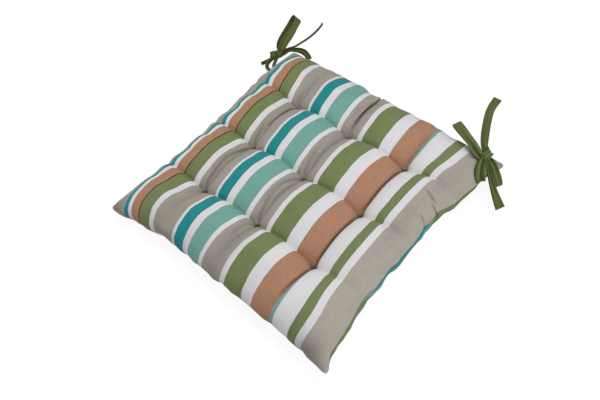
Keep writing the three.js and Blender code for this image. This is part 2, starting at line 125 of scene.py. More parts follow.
# small folds pinched into the top panel: points in millimetres from the left and the
# front seam, how deep and how wide each is, which end, if any, runs out flat, and, where
# given, how much painted shade lies along the fold
FOLDS = [
    {"deep": 3.0, "wide": 2.0, "out": "none", "path": [(104, 106), (100.5, 119), (99.5, 131), (98.5, 150), (98, 161), (99, 173), (101, 185), (103, 196), (104.5, 207)]},
    {"deep": 0.9, "wide": 1.8, "out": "both", "path": [(94, 112), (92.5, 124), (92.5, 135), (93, 148), (93.5, 162), (95, 178), (98, 192)]},
    {"deep": 2.6, "wide": 2.0, "out": "last", "path": [(104.5, 210), (103, 215), (101, 221), (99.5, 230), (98, 240), (95, 254)]},
    {"deep": 3.2, "wide": 1.9, "out": "first", "path": [(103.5, 243), (104.5, 251), (105.5, 260), (105, 272), (104, 284), (104, 296), (104.5, 311)]},
    {"deep": 1.0, "wide": 2.2, "out": "both", "path": [(95, 215), (94, 230), (93, 243), (93, 257), (92.5, 275), (92, 295)]},
    {"deep": 1.6, "wide": 2.2, "out": "last", "path": [(103.5, 315), (101, 322), (99, 332), (98, 345)]},
    {"deep": 1.4, "wide": 2.4, "out": "last", "path": [(103.5, 102), (100, 95), (97, 84), (95, 72)]},
    {"deep": 2.6, "wide": 2.0, "out": "last", "path": [(208, 104.5), (203, 96), (200.5, 86), (200, 74), (201, 60), (203, 47)]},
    {"deep": 2.8, "wide": 2.2, "out": "none", "path": [(208.5, 107), (206, 115), (203.8, 125), (202, 139), (200, 151), (199.5, 162), (200, 173), (201.5, 184), (204, 194), (207.5, 207)]},
    {"deep": 1.0, "wide": 1.6, "out": "both", "path": [(203, 128), (199, 139), (196.5, 152), (196.5, 165), (198, 178)]},
    {"deep": 2.4, "wide": 2.4, "out": "last", "path": [(207.5, 211), (204.5, 220), (202, 232), (200.5, 243), (199.5, 258), (199, 272)]},
    {"deep": 1.2, "wide": 2.2, "out": "both", "path": [(211, 250), (212, 262), (212.5, 276), (211.5, 292)]},
    {"deep": 5.0, "wide": 2.0, "out": "first", "path": [(205.5, 322), (207.5, 332), (207.5, 345), (207.5, 360), (207.5, 374), (208, 388), (209, 404), (209, 414)]},
    {"deep": 1.2, "wide": 2.0, "out": "both", "path": [(199, 330), (198, 345), (198, 360), (200, 376)]},
    {"deep": 2.6, "wide": 1.15, "out": "both", "painted_shading": 0.42, "path": [(362, 289), (369, 286.4), (374, 284.8), (380, 283.5), (386, 282.9), (392, 283.2), (397, 284)]},
    {"deep": 3.2, "wide": 1.3, "out": "first", "painted_shading": 0.55, "path": [(385, 278), (390, 276.6), (395.4, 275.7), (400.6, 275.5), (405, 275.6), (409, 275.8)]},
    {"deep": 2.6, "wide": 1.2, "out": "first", "painted_shading": 0.42, "path": [(384, 252.5), (388, 251.8), (392, 250.7), (396, 249), (400.3, 247), (404, 245)]},
    {"deep": 1.3, "wide": 1.6, "out": "both", "painted_shading": 0.22, "path": [(367, 303.5), (371, 305.2), (375.5, 307.3), (380, 310.8), (387, 315)]},
    {"deep": 0.8, "wide": 1.7, "out": "both", "painted_shading": 0.10, "path": [(373, 302), (378, 300.2), (384, 301), (389, 304)]},
    {"deep": 0.8, "wide": 3.0, "out": "both", "path": [(368, 240), (378, 236), (386, 231)]},
    {"deep": 1.5, "wide": 1.7, "out": "both", "painted_shading": 0.26, "path": [(368, 372), (373, 374), (379, 376.5), (386, 381), (393, 386)]},
    {"deep": 0.9, "wide": 2.4, "out": "both", "path": [(150, 4), (151, 14), (153, 26)]},
    {"deep": 0.9, "wide": 2.4, "out": "both", "path": [(128, 3), (127, 12), (124, 22)]},
    {"deep": 0.8, "wide": 2.6, "out": "both", "path": [(262, 3), (261, 14), (263, 24)]},
    {"deep": 0.7, "wide": 2.4, "out": "both", "path": [(356, 4), (355, 15), (352, 28)]},
]
# shallow dents of the top, "rise" millimetres high, and soft patches of painted shade on
# it, with one long strip of painted light down its right side; "long" lies along the direction "turn"
DENTS = [
    {"u": 389, "v": 12, "turn": -10, "long": 25, "wide": 14, "rise": 0.0, "painted_shading": 0.38},
    {"u": 11, "v": 9, "turn": 45, "long": 17, "wide": 14, "rise": 0.0, "painted_shading": 0.30},
    {"u": 106, "v": 7, "turn": 0, "long": 19, "wide": 9, "rise": 0.0, "painted_shading": 0.22},
    {"u": 108, "v": 46, "turn": 60, "long": 26, "wide": 18, "rise": 0.0, "painted_shading": 0.08},
    {"u": 212, "v": 38, "turn": 80, "long": 34, "wide": 16, "rise": -0.8, "painted_shading": 0.15},
    {"u": 376, "v": 225, "turn": 90, "long": 62, "wide": 13, "rise": 0.0, "painted_shading": 0.12},
    {"u": 385, "v": 336, "turn": 90, "long": 45, "wide": 17, "rise": 0.0, "painted_shading": 0.12},
    {"u": 407, "v": 150, "turn": 90, "long": 135, "wide": 9, "rise": 0.0, "painted_shading": -0.13},
    {"u": 411, "v": 411, "turn": 0, "long": 14, "wide": 14, "rise": 0.0, "painted_shading": 0.34},
]

# where the seam of the right side lies on the rolled edge, from front to back
RIGHT_SEAM = [
    {"v": 0, "u": 421}, {"v": 14, "u": 421}, {"v": 20, "u": 416}, {"v": 26, "u": 413}, {"v": 45, "u": 410}, {"v": 62, "u": 408},
    {"v": 80, "u": 406}, {"v": 100, "u": 405}, {"v": 118, "u": 404}, {"v": 131, "u": 405},
    {"v": 141, "u": 406.5}, {"v": 151, "u": 408}, {"v": 159, "u": 407.5}, {"v": 170, "u": 406.5},
    {"v": 184, "u": 408.5}, {"v": 191, "u": 406.5}, {"v": 204, "u": 405}, {"v": 228, "u": 405},
    {"v": 240, "u": 404.5}, {"v": 245, "u": 401}, {"v": 249, "u": 402.5}, {"v": 255, "u": 406.5},
    {"v": 268, "u": 407.5}, {"v": 274, "u": 403}, {"v": 277, "u": 402}, {"v": 283, "u": 404},
    {"v": 295, "u": 407}, {"v": 308, "u": 409}, {"v": 328, "u": 409.5}, {"v": 353, "u": 413},
    {"v": 375, "u": 414}, {"v": 418, "u": 418},
]

# the stripes of the cloth from its left seam to its right one: where each starts
STRIPES = [
    {"at": 0.0, "colour": "grey"},
    {"at": 36.5, "colour": "teal"},
    {"at": 44.0, "colour": "white"},
    {"at": 49.5, "colour": "peach"},
    {"at": 65.0, "colour": "line"},
    {"at": 66.3, "colour": "green"},
    {"at": 83.0, "colour": "white"},
    {"at": 91.0, "colour": "grey"},
    {"at": 128.0, "colour": "white"},
    {"at": 132.5, "colour": "teal"},
    {"at": 151.0, "colour": "white"},
    {"at": 163.0, "colour": "aqua"},
    {"at": 185.5, "colour": "white"},
    {"at": 192.0, "colour": "grey"},
    {"at": 226.5, "colour": "white"},
    {"at": 233.5, "colour": "green"},
    {"at": 263.5, "colour": "white"},
    {"at": 281.5, "colour": "peach"},
    {"at": 311.5, "colour": "aqua"},
    {"at": 316.5, "colour": "white"},
    {"at": 341.0, "colour": "green"},
    {"at": 354.0, "colour": "white"},
    # the last stripe is the grey with painted light on it
    {"at": 363.0, "colour": "grey_painted_lighter"},
]
# the bottom panel is cut from another place across the stripes
BOTTOM_STRIPES = [
    {"at": 0.0, "colour": "grey"},
    {"at": 40.0, "colour": "white"},
    {"at": 52.0, "colour": "peach"},
    {"at": 83.0, "colour": "white"},
    {"at": 101.0, "colour": "green"},
    {"at": 131.0, "colour": "white"},
    {"at": 138.0, "colour": "grey"},
    {"at": 172.5, "colour": "white"},
    {"at": 179.0, "colour": "aqua"},
    {"at": 201.5, "colour": "white"},
    {"at": 213.5, "colour": "teal"},
    {"at": 232.0, "colour": "white"},
    {"at": 236.5, "colour": "grey"},
    {"at": 273.5, "colour": "white"},
    {"at": 281.5, "colour": "green"},
    {"at": 298.2, "colour": "line"},
    {"at": 299.5, "colour": "peach"},
    {"at": 315.0, "colour": "white"},
    {"at": 320.5, "colour": "teal"},
    {"at": 328.0, "colour": "grey"},
    {"at": 383.0, "colour": "white"},
    {"at": 392.0, "colour": "green"},
    {"at": 409.0, "colour": "aqua"},
    {"at": 412.5, "colour": "teal"},
]
# one dark red neb in the yarn, on the top
SPECK = {"u": 384.0, "v": 185.0, "half": 0.8}
# how the cloth is gathered along the front and back edges, as a share of full
GATHER = [
    {"v": 0.00, "share": 1.10}, {"v": 0.06, "share": 1.00}, {"v": 0.12, "share": 0.75},
    {"v": 0.18, "share": 0.35}, {"v": 0.33, "share": 0.15}, {"v": 0.50, "share": 0.00},
    {"v": 0.69, "share": 0.00}, {"v": 0.78, "share": 0.40}, {"v": 0.84, "share": 0.80},
    {"v": 0.91, "share": 1.05}, {"v": 1.00, "share": 1.10},
]
GATHER_MOST = 0.061
GATHER_CENTRE = 195.0

# how far the stripes lie to the left of that near the front and the back seam
STRIPE_SHIFT = [
    {"u": 0, "front": 1.5, "back": 0.0}, {"u": 60, "front": 1.5, "back": 0.0}, {"u": 90, "front": 0.0, "back": 0.0},
    {"u": 120, "front": 0.0, "back": 0.0}, {"u": 160, "front": 2.0, "back": 0.0}, {"u": 190, "front": 3.0, "back": 0.5},
    {"u": 220, "front": 3.6, "back": 2.0}, {"u": 260, "front": 4.5, "back": 3.6}, {"u": 295, "front": 4.2, "back": 4.0},
    {"u": 325, "front": 1.4, "back": 2.2}, {"u": 342, "front": 0.0, "back": 0.0}, {"u": 418, "front": 0.0, "back": 0.0},
]

# the two bows, in the same rows as the model: millimetres from each knot, in the
# directions of the lean; "wide" is a share of the tie's width, "turn" is in degrees
TIE_WIDTH = 14.0
TIE_THICK = 1.5
LEAN = {"turn": 46.7, "rise": 53.4, "roll": -7.6}
BOWS = {
    "right": {
        "at": [179.8, 180.3, 55.4],
        "ties": {
            "tie_right_side": {
                "strand": [
                    {"right": -5.4, "up": -3.7, "out": 2, "wide": 0.6, "thick": 1.3, "turn": 0, "pleat": 1.4},
                    {"right": -9.1, "up": -12.3, "out": 7.6, "wide": 0.8, "thick": 1, "turn": 0, "pleat": 2.1},
                    {"right": -11.6, "up": -22.2, "out": 11.6, "wide": 1.08, "thick": 1, "turn": -3, "pleat": 2.1},
                    {"right": -11.5, "up": -31.1, "out": 10.4, "wide": 1.2, "thick": 1, "turn": -3, "pleat": 1.8},
                    {"right": -9.5, "up": -37.6, "out": 4.0, "wide": 1.15, "thick": 1, "turn": -3, "pleat": 1.1},
                ],
                "tail": [
                    {"right": -1.3, "up": -3.9, "out": 5, "wide": 0.35, "thick": 1.3, "turn": 0, "pleat": 1.0},
                    {"right": 0.4, "up": -16.5, "out": 9, "wide": 0.38, "thick": 1, "turn": 0, "pleat": 1.1},
                    {"right": 2.4, "up": -26.2, "out": 9.5, "wide": 0.46, "thick": 1, "turn": 0, "pleat": 1.3},
                    {"right": 5.5, "up": -38.6, "out": 9, "wide": 0.56, "thick": 1, "turn": 0, "pleat": 1.2},
                    {"right": 9.5, "up": -51.0, "out": 7.5, "wide": 0.68, "thick": 1, "turn": 0, "pleat": 0.9},
                    {"right": 13.8, "up": -62.0, "out": 5.5, "wide": 0.86, "thick": 1, "turn": 0, "pleat": 0.5},
                    {"right": 18.8, "up": -73.5, "out": 3, "wide": 1.0, "thick": 1, "turn": 0, "pleat": 0.2},
                ],
                "loop": [
                    {"right": -7.0, "up": -2.4, "out": 3, "wide": 0.7, "thick": 1.3, "turn": 0, "pleat": 1.6},
                    {"right": -13.6, "up": 4.9, "out": 6, "wide": 1.0, "thick": 1, "turn": 0, "pleat": 2.2},
                    {"right": -19.2, "up": 14.1, "out": 5, "wide": 1.0, "thick": 1, "turn": 0, "pleat": 1.8},
                    {"right": -26.4, "up": 25.9, "out": 2, "wide": 0.9, "thick": 1, "turn": 0, "pleat": 1.1},
                    {"right": -33.3, "up": 36.7, "out": -3, "wide": 0.95, "thick": 1, "turn": 0, "pleat": 0.2},
                    {"right": -37.9, "up": 44.1, "out": -7.5, "wide": 0.95, "thick": 1, "turn": 0, "pleat": 0},
                    {"right": -38.6, "up": 45.9, "out": -11, "wide": 0.95, "thick": 1, "turn": 0, "pleat": 0},
                    {"right": -35.1, "up": 41.6, "out": -14.5, "wide": 0.95, "thick": 1, "turn": 0, "pleat": 0},
                    {"right": -24.7, "up": 26.5, "out": -11, "wide": 0.8, "thick": 1, "turn": 0, "pleat": 0.3},
                    {"right": -15.5, "up": 11.3, "out": -5, "wide": 0.7, "thick": 1, "turn": 0, "pleat": 0.8},
                    {"right": -8.1, "up": 0.6, "out": -1, "wide": 0.45, "thick": 1.3, "turn": 0, "pleat": 1.0},
                ],
            },
            "tie_right_back": {
                "strand": [
                    {"right": 0.3, "up": 5.0, "out": -4, "wide": 0.6, "thick": 1.6, "turn": 0},
                    {"right": 4.2, "up": 12.7, "out": -14, "wide": 0.7, "thick": 1, "turn": 0},
                    {"right": 7.3, "up": 15.2, "out": -29, "wide": 0.8, "thick": 1, "turn": 0},
                    {"right": 9.3, "up": 10.7, "out": -37, "wide": 0.9, "thick": 1, "turn": 0},
                ],
                "tail": [
                    {"right": -1.7, "up": 3.3, "out": 0, "wide": 0.5, "thick": 1.5, "turn": 0, "pleat": 1.0},
                    {"right": -1.7, "up": 13.3, "out": -3, "wide": 0.74, "thick": 1, "turn": 0, "pleat": 0.9},
                    {"right": -0.2, "up": 23.4, "out": -7, "wide": 0.82, "thick": 1, "turn": -8, "pleat": 0.6},
                    {"right": 3.1, "up": 36.6, "out": -14, "wide": 0.86, "thick": 1, "turn": -10, "pleat": 0.35},
                    {"right": 8.2, "up": 52.4, "out": -23, "wide": 0.86, "thick": 1, "turn": -10, "pleat": 0.25},
                    {"right": 13.7, "up": 65.5, "out": -31, "wide": 0.84, "thick": 1, "turn": -5, "pleat": 0.2},
                    {"right": 20.5, "up": 75.1, "out": -39, "wide": 0.86, "thick": 1, "turn": 0, "pleat": 0.15},
                    {"right": 29.4, "up": 85.0, "out": -48, "wide": 0.92, "thick": 1, "turn": 0, "pleat": 0.1},
                ],
                "loop": [
                    {"right": 3.0, "up": -2.9, "out": -1, "wide": 0.5, "thick": 1.5, "turn": 0, "pleat": 1.4},
                    {"right": 8.3, "up": -12.0, "out": 1, "wide": 0.74, "thick": 1, "turn": 0, "pleat": 1.7},
                    {"right": 12.3, "up": -22.5, "out": 1.5, "wide": 0.82, "thick": 1, "turn": 0, "pleat": 1.3},
                    {"right": 15.8, "up": -32.1, "out": 0, "wide": 0.86, "thick": 1, "turn": 0, "pleat": 0.7},
                    {"right": 18.7, "up": -39.0, "out": -3.5, "wide": 0.8, "thick": 1, "turn": 0, "pleat": 0.3},
                    {"right": 19.8, "up": -42.1, "out": -8, "wide": 0.7, "thick": 1, "turn": 0, "pleat": 0.1},
                    {"right": 19.2, "up": -39.0, "out": -11.5, "wide": 0.66, "thick": 1, "turn": 0, "pleat": 0.2},
                    {"right": 13.2, "up": -24.2, "out": -8, "wide": 0.6, "thick": 1, "turn": 0, "pleat": 0.4},
                    {"right": 4.5, "up": -4.1, "out": -4, "wide": 0.45, "thick": 1.5, "turn": 0, "pleat": 0.8},
                ],
            },
        },
    },
    "left": {
        "at": [-211.0, 174.0, 36.0],
        "ties": {
            "tie_left_back": {
                "strand": [
                    {"right": 7.0, "up": 0.1, "out": -1, "wide": 0.5, "thick": 1.3, "turn": 0, "pleat": 1.2},
                    {"right": 15.2, "up": 4.1, "out": 0, "wide": 0.46, "thick": 1, "turn": 10, "pleat": 1.2},
                    {"right": 21.8, "up": 7.8, "out": 2, "wide": 0.46, "thick": 1, "turn": 15, "pleat": 1.2},
                    {"right": 30.0, "up": 7.6, "out": 4, "wide": 0.52, "thick": 1, "turn": 15, "pleat": 1.3},
                    {"right": 39.0, "up": 6.5, "out": 6, "wide": 0.66, "thick": 1, "turn": 10, "pleat": 1.4},
                    {"right": 46.3, "up": 3.6, "out": 6, "wide": 0.7, "thick": 1, "turn": 5, "pleat": 1.2},
                    {"right": 51.9, "up": -1.8, "out": 5, "wide": 0.66, "thick": 1, "turn": 0, "pleat": 0.8},
                    {"right": 55.5, "up": -8.0, "out": 3.5, "wide": 0.62, "thick": 1, "turn": 0, "pleat": 0.4},
                ],
                "loop": [
                    {"right": 6.4, "up": 0.6, "out": 2, "wide": 0.6, "thick": 1.3, "turn": 0, "pleat": 1.2},
                    {"right": 9.4, "up": 9.0, "out": 5, "wide": 0.8, "thick": 1, "turn": 0, "pleat": 1.3},
                    {"right": 14.8, "up": 20.4, "out": 5, "wide": 0.94, "thick": 1, "turn": 0, "pleat": 0.8},
                    {"right": 21.2, "up": 30.2, "out": 3, "wide": 0.94, "thick": 1, "turn": 0, "pleat": 0.4},
                    {"right": 27.3, "up": 40.2, "out": 0, "wide": 0.84, "thick": 1, "turn": 0, "pleat": 0.2},
                    {"right": 32.9, "up": 51.0, "out": -4, "wide": 0.74, "thick": 1, "turn": 0, "pleat": 0.1},
                    {"right": 36.0, "up": 59.1, "out": -9, "wide": 0.86, "thick": 1, "turn": 12, "pleat": 0},
                    {"right": 34.2, "up": 64.7, "out": -13, "wide": 0.96, "thick": 1, "turn": 42, "pleat": 0},
                    {"right": 29.8, "up": 62.3, "out": -18, "wide": 0.98, "thick": 1, "turn": 76, "pleat": 0},
                    {"right": 23.0, "up": 52.1, "out": -21, "wide": 0.92, "thick": 1, "turn": 80, "pleat": 0},
                    {"right": 14.7, "up": 38.3, "out": -19, "wide": 0.92, "thick": 1, "turn": 80, "pleat": 0},
                    {"right": 8.5, "up": 25.0, "out": -13, "wide": 0.9, "thick": 1, "turn": 80, "pleat": 0},
                    {"right": 6.2, "up": 13.6, "out": -6, "wide": 0.8, "thick": 1, "turn": 60, "pleat": 0.3},
                    {"right": 6.0, "up": 5.5, "out": -2, "wide": 0.5, "thick": 1.3, "turn": 30, "pleat": 0.8},
                ],
            },
            "tie_left_side": {
                "strand": [
                    {"right": -4.4, "up": -5.2, "out": 1, "wide": 0.4, "thick": 1.5, "turn": 0, "pleat": 1.0},
                    {"right": -9.4, "up": -9.1, "out": -1, "wide": 0.46, "thick": 1.3, "turn": -10, "pleat": 1.0},
                    {"right": -13.3, "up": -13.8, "out": 1, "wide": 0.46, "thick": 1.2, "turn": -10, "pleat": 0.9},
                    {"right": -14.1, "up": -19.5, "out": 4, "wide": 0.46, "thick": 1, "turn": -10, "pleat": 0.6},
                    {"right": -12.0, "up": -24.2, "out": 8, "wide": 0.5, "thick": 1, "turn": 0, "pleat": 0.4},
                    {"right": -8.0, "up": -27.5, "out": 10, "wide": 0.5, "thick": 1, "turn": 0, "pleat": 0.3},
                ],
                "short": [
                    {"right": 1.3, "up": -5.7, "out": 1, "wide": 0.4, "thick": 1.5, "turn": 0, "pleat": 0.9},
                    {"right": -0.4, "up": -10.5, "out": 3, "wide": 0.4, "thick": 1, "turn": 0, "pleat": 0.8},
                    {"right": -2.4, "up": -16.0, "out": 6, "wide": 0.4, "thick": 1, "turn": 0, "pleat": 0.6},
                    {"right": -3.6, "up": -21.1, "out": 9, "wide": 0.4, "thick": 1, "turn": 0, "pleat": 0.4},
                ],
                "end": [
                    {"right": -5.3, "up": -5.7, "out": 0, "wide": 0.42, "thick": 1.6, "turn": 0, "pleat": 1.0},
                    {"right": -11.5, "up": -7.9, "out": -4, "wide": 0.46, "thick": 1.6, "turn": 0, "pleat": 0.9},
                    {"right": -17.7, "up": -9.4, "out": -10, "wide": 0.46, "thick": 1.7, "turn": 0, "pleat": 0.9},
                    {"right": -23.6, "up": -10.9, "out": -16, "wide": 0.46, "thick": 1.8, "turn": 0, "pleat": 0.8},
                ],
                "tail": [
                    {"right": 6.9, "up": 4.3, "out": -4, "wide": 0.45, "thick": 1.3, "turn": 0, "pleat": 0.8},
                    {"right": 18.3, "up": 10.7, "out": -11, "wide": 0.65, "thick": 1, "turn": 60, "pleat": 0.4},
                    {"right": 28.2, "up": 15.6, "out": -15, "wide": 0.85, "thick": 1, "turn": 86, "pleat": 0.2},
                    {"right": 43.1, "up": 24.7, "out": -17, "wide": 0.95, "thick": 1, "turn": 88, "pleat": 0.1},
                    {"right": 53.4, "up": 31.7, "out": -18, "wide": 1, "thick": 1, "turn": 88, "pleat": 0},
                    {"right": 62.1, "up": 38.9, "out": -19, "wide": 1, "thick": 1, "turn": 86, "pleat": 0},
                    {"right": 70.5, "up": 47.2, "out": -20, "wide": 1, "thick": 1, "turn": 84, "pleat": 0},
                    {"right": 77.5, "up": 56.5, "out": -20, "wide": 1, "thick": 1, "turn": 84, "pleat": 0},
                ],
            },
        },
    },
}

# the cloth wound round each knot: turns of a tie about an axis that lies across the bow
# strips that lie in the shade of their bow, or stand out of it
TONES = {("left", "strand"): -0.9, ("left", "end"): -1.5, ("left", "short"): -0.5, ("right", "loop"): 0.35}

KNOTS = {
    "tie_right_back": {
        "body": {"right": 8.2, "up": 7.2, "out": 6.2, "tilt": -40},
        "turns": [
            {"at": (0.5, -0.5, 0.8), "axis": 140, "round": 7.4, "deep": 6.8, "wide": 0.80, "pleat": 0.8, "light": 0.9},
            {"at": (-1.5, 3.5, 1.1), "axis": 118, "round": 6.8, "deep": 6.2, "wide": 0.50, "pleat": 0.6, "light": 0.7},
        ],
    },
    "tie_left_side": {
        "body": {"right": 10.0, "up": 5.8, "out": 5.8, "tilt": 12},
        "turns": [
            {"at": (-3.5, -0.5, 0.0), "axis": 14, "round": 6.4, "deep": 6.4, "wide": 0.70, "pleat": 0.7},
            {"at": (5.0, 1.8, 0.0), "axis": 24, "round": 5.8, "deep": 5.8, "wide": 0.50, "pleat": 0.6},
        ],
    },
}

# colours as they show in soft light, 0 to 255
COLOURS = {
    "grey": (161, 154, 144),
    # the grey again, with painted light, for the stripe along the right side
    "grey_painted_lighter": (170, 162, 152),
    "teal": (36, 137, 141),
    "white": (220, 218, 221),
    "peach": (171, 129, 103),
    "green": (118, 130, 86),
    "aqua": (117, 166, 155),
    "line": (72, 56, 30),
    "tie": (86, 97, 53),
    "speck": (128, 62, 66),
}
LIGHT = 0.84         # the light that those colours were seen in


def base(name, k=1.0):
    out = []
    for c in COLOURS[name]:
        c /= 255.0
        c = c / 12.92 if c <= 0.04045 else ((c + 0.055) / 1.055) ** 2.4
        out.append(min(0.9, c / LIGHT * k))
    return (*out, 1.0)


# ------------------------------------------------------------------ camera ----
def place_camera():
    turn, rise, roll = (math.radians(a) for a in (46.684, 53.409, -7.576))
    back = np.array([math.sin(turn) * math.cos(rise), -math.cos(turn) * math.cos(rise), math.sin(rise)])
    right = np.cross([0, 0, 1], back)
    right /= np.linalg.norm(right)
    up = np.cross(back, right)
    r = math.cos(roll) * right + math.sin(roll) * up
    u = -math.sin(roll) * right + math.cos(roll) * up
    at = np.array([0, 0, 30.0]) + 1043.51 * back - 7.544 * r - 19.126 * u + SHIFT
    data = bpy.data.cameras.new("camera")
    data.sensor_fit = "HORIZONTAL"
    data.sensor_width = 36.0
    data.lens = 732.93 * 36.0 / 600.0
    data.clip_end = 50
    cam = bpy.data.objects.new("camera", data)
    bpy.context.scene.collection.objects.link(cam)
    m = Matrix.Identity(4)
    for i in range(3):
        m[i][0], m[i][1], m[i][2], m[i][3] = r[i], u[i], back[i], at[i] / 1000
    cam.matrix_world = m
    bpy.context.scene.camera = cam
    return r, u, back


CAM_RIGHT, CAM_UP, CAM_BACK = place_camera()


# ------------------------------------------------------------- light, floor ----
def area_light(name, at, size, power, aim=(0, -0.02, 0.03)):
    data = bpy.data.lights.new(name, "AREA")
    data.shape = "DISK"
    data.size = size
    data.energy = power
    ob = bpy.data.objects.new(name, data)
    ob.location = at
    ob.rotation_euler = (Vector(aim) - Vector(at)).to_track_quat("-Z", "Y").to_euler()
    bpy.context.scene.collection.objects.link(ob)
    return ob


def make_studio():
    world = bpy.data.worlds.new("studio")
    bpy.context.scene.world = world
    world.use_nodes = True
    bg = world.node_tree.nodes["Background"]
    bg.inputs["Color"].default_value = (1.0, 1.0, 1.0, 1)
    bg.inputs["Strength"].default_value = 0.44
    area_light("key", (0.33, 0.12, 1.35), 0.8, 5.7)
    area_light("right", (1.05, 0.05, 0.35), 0.5, 1.9)
    area_light("left", (-0.95, -0.3, 0.4), 0.5, 1.9)
    me = bpy.data.meshes.new("floor")
    s = 40.0
    me.from_pydata([(-s, -s, 0), (s, -s, 0), (s, s, 0), (-s, s, 0)], [], [(0, 1, 2, 3)])
    floor = bpy.data.objects.new("floor", me)
    bpy.context.scene.collection.objects.link(floor)
    mat = bpy.data.materials.new("floor")
    mat.use_nodes = True
    b = mat.node_tree.nodes["Principled BSDF"]
    b.inputs["Base Color"].default_value = (0.20, 0.20, 0.20, 1)
    b.inputs["Roughness"].default_value = 1.0
    b.inputs["Specular IOR Level"].default_value = 0.0
    b.inputs["Emission Color"].default_value = (1, 1, 1, 1)
    b.inputs["Emission Strength"].default_value = 0.88
    me.materials.append(mat)
    floor.visible_diffuse = False
    floor.visible_glossy = False
    scene = bpy.context.scene
    scene.view_settings.view_transform = "Standard"
    scene.view_settings.look = "None"


make_studio()


# --------------------------------------------------------------- the cloth ----
def smoothstep(t):
    t = np.clip(t, 0, 1)
    return t * t * (3 - 2 * t)


def seam_of(n):
    edge = np.zeros((n, n), bool)
    edge[[0, -1]] = True
    edge[:, [0, -1]] = True
    return edge


def hold(a, b, rest, pull, push):
    """moves the ends of each thread towards its rest length"""
    d = b - a
    l = np.sqrt(np.einsum("...k,...k->...", d, d)) + 1e-9
    e = l - rest
    c = np.where(e > 0, pull, push) * 0.5 * e / l
    d *= c[..., None]
    a += d
    b -= d


def lay_out(cells):
    u = np.linspace(-0.5, 0.5, cells + 1)
    U, V = np.meshgrid(u, u, indexing="ij")
    X = np.zeros((2, cells + 1, cells + 1, 3))
    X[..., 0] = U * CUT
    X[..., 1] = V * CUT
    bump = 6 * np.cos(U * np.pi) * np.cos(V * np.pi)
    X[0, ..., 2] = 30 + bump
    X[1, ..., 2] = 30 - bump
    return X


def rest_lengths(cells, first, last):
    n = cells + 1
    band = max(1, round(EDGE_BAND * cells))
    across = np.minimum(np.arange(n), cells - np.arange(n)) / cells
    fade = smoothstep(across / CORNER_FADE)
    R = np.full((2, cells, n), CUT / cells)
    for p, roll in ((0, SEAM_ROLL), (1, -SEAM_ROLL)):
        R[p, :band] += (roll + first) / band * fade
        R[p, -band:] += (roll + last) / band * fade
    return R


def pull_tufts(X, ti, tj):
    a, b = X[0, ti, tj], X[1, ti, tj]
    d = a - b
    l = np.sqrt((d * d).sum(-1))
    c = np.where(l > TUFT_GAP, 0.5 * (l - TUFT_GAP) / np.maximum(l, 1e-9), 0)[:, None] * d
    X[0, ti, tj] = a - c
    X[1, ti, tj] = b + c


def relax(X, cells, steps, bend, give, fill, tuft_half, broad=None, shear=0.05, damp=0.97, sweeps=4):
    """broad, if given, is the shape whose broad forms are kept while finer ones settle"""
    n = cells + 1
    h = CUT / cells
    q = cells // 4
    RX = rest_lengths(cells, FULLNESS["left"], FULLNESS["right"])
    RY = np.swapaxes(rest_lengths(cells, FULLNESS["front"], FULLNESS["back"]), 1, 2).copy()
    GX = np.full((1, 1, n), give)
    GX[..., [0, -1]] = 1.0
    GY = np.full((1, n, 1), give)
    GY[:, [0, -1]] = 1.0
    diag = h * math.sqrt(2)
    edge = seam_of(n)
    near = range(-tuft_half, tuft_half + 1)
    held = [(q * a + i, q * b + j) for a in (1, 2, 3) for b in (1, 2, 3)
            for i in near for j in near if i * i + j * j <= tuft_half ** 2 + 0.5]
    ti, tj = np.array([t[0] for t in held]), np.array([t[1] for t in held])
    levels = int(round(math.log2(cells / 20)))
    if broad is not None:
        di, dj, deep = dips(cells)
        gap = broad[0] - broad[1]
        gap = np.sqrt((gap * gap).sum(-1))[di, dj] - deep
    prev = X.copy()
    for _ in range(steps):
        dx, dy = np.empty_like(X), np.empty_like(X)
        dx[:, 1:-1] = (X[:, 2:] - X[:, :-2]) / 2
        dx[:, 0] = X[:, 1] - X[:, 0]
        dx[:, -1] = X[:, -1] - X[:, -2]
        dy[:, :, 1:-1] = (X[:, :, 2:] - X[:, :, :-2]) / 2
        dy[:, :, 0] = X[:, :, 1] - X[:, :, 0]
        dy[:, :, -1] = X[:, :, -1] - X[:, :, -2]
        push = np.cross(dx, dy) * (fill / (h * h))
        push[1] *= -1
        push[:, [0, -1]] *= 0.5
        push[:, :, [0, -1]] *= 0.5
        both = (push[0] + push[1]) / 2
        push[0][edge] = both[edge]
        push[1][edge] = both[edge]
        push[0, ..., 2] -= CLOTH_WEIGHT
        push[1, ..., 2] -= CLOTH_WEIGHT + FILL_WEIGHT
        v = (X - prev) * damp
        prev[...] = X
        if broad is not None:
            off = broad - X
            for _ in range(levels):
                off = coarser(off)
            off *= 0.25
            for _ in range(levels):
                off = finer(off, False)
            X += off
        X += v + push * h
        for _ in range(sweeps):
            for o in (0, 1):
                hold(X[:, o:cells:2], X[:, o + 1:n:2], RX[:, o::2], 1.0, GX)
                hold(X[:, :, o:cells:2], X[:, :, o + 1:n:2], RY[:, :, o::2], 1.0, GY)
            for o in (0, 1):
                for w in (0, 1):
                    hold(X[:, o:cells:2, w:cells:2], X[:, o + 1:n:2, w + 1:n:2], diag, shear, shear)
                    hold(X[:, o + 1:n:2, w:cells:2], X[:, o:cells:2, w + 1:n:2], diag, shear, shear)
            for o in range(4):
                hold(X[:, o:n - 2:4], X[:, o + 2:n:4], 2 * h, bend, bend)
                hold(X[:, :, o:n - 2:4], X[:, :, o + 2:n:4], 2 * h, bend, bend)
            m = (X[0] + X[1]) / 2
            X[0][edge] = m[edge]
            X[1][edge] = m[edge]
            pull_tufts(X, ti, tj)
            if broad is not None:
                d = X[0, di, dj] - X[1, di, dj]
                l = np.sqrt((d * d).sum(-1))
                X[0, di, dj] -= (0.5 * np.maximum(l - gap, 0) / np.maximum(l, 1e-9))[:, None] * d
            np.maximum(X[..., 2], 0, out=X[..., 2])
        low = X[..., 2] <= 0.001
        prev[low] = (prev[low] + X[low]) / 2
    return X


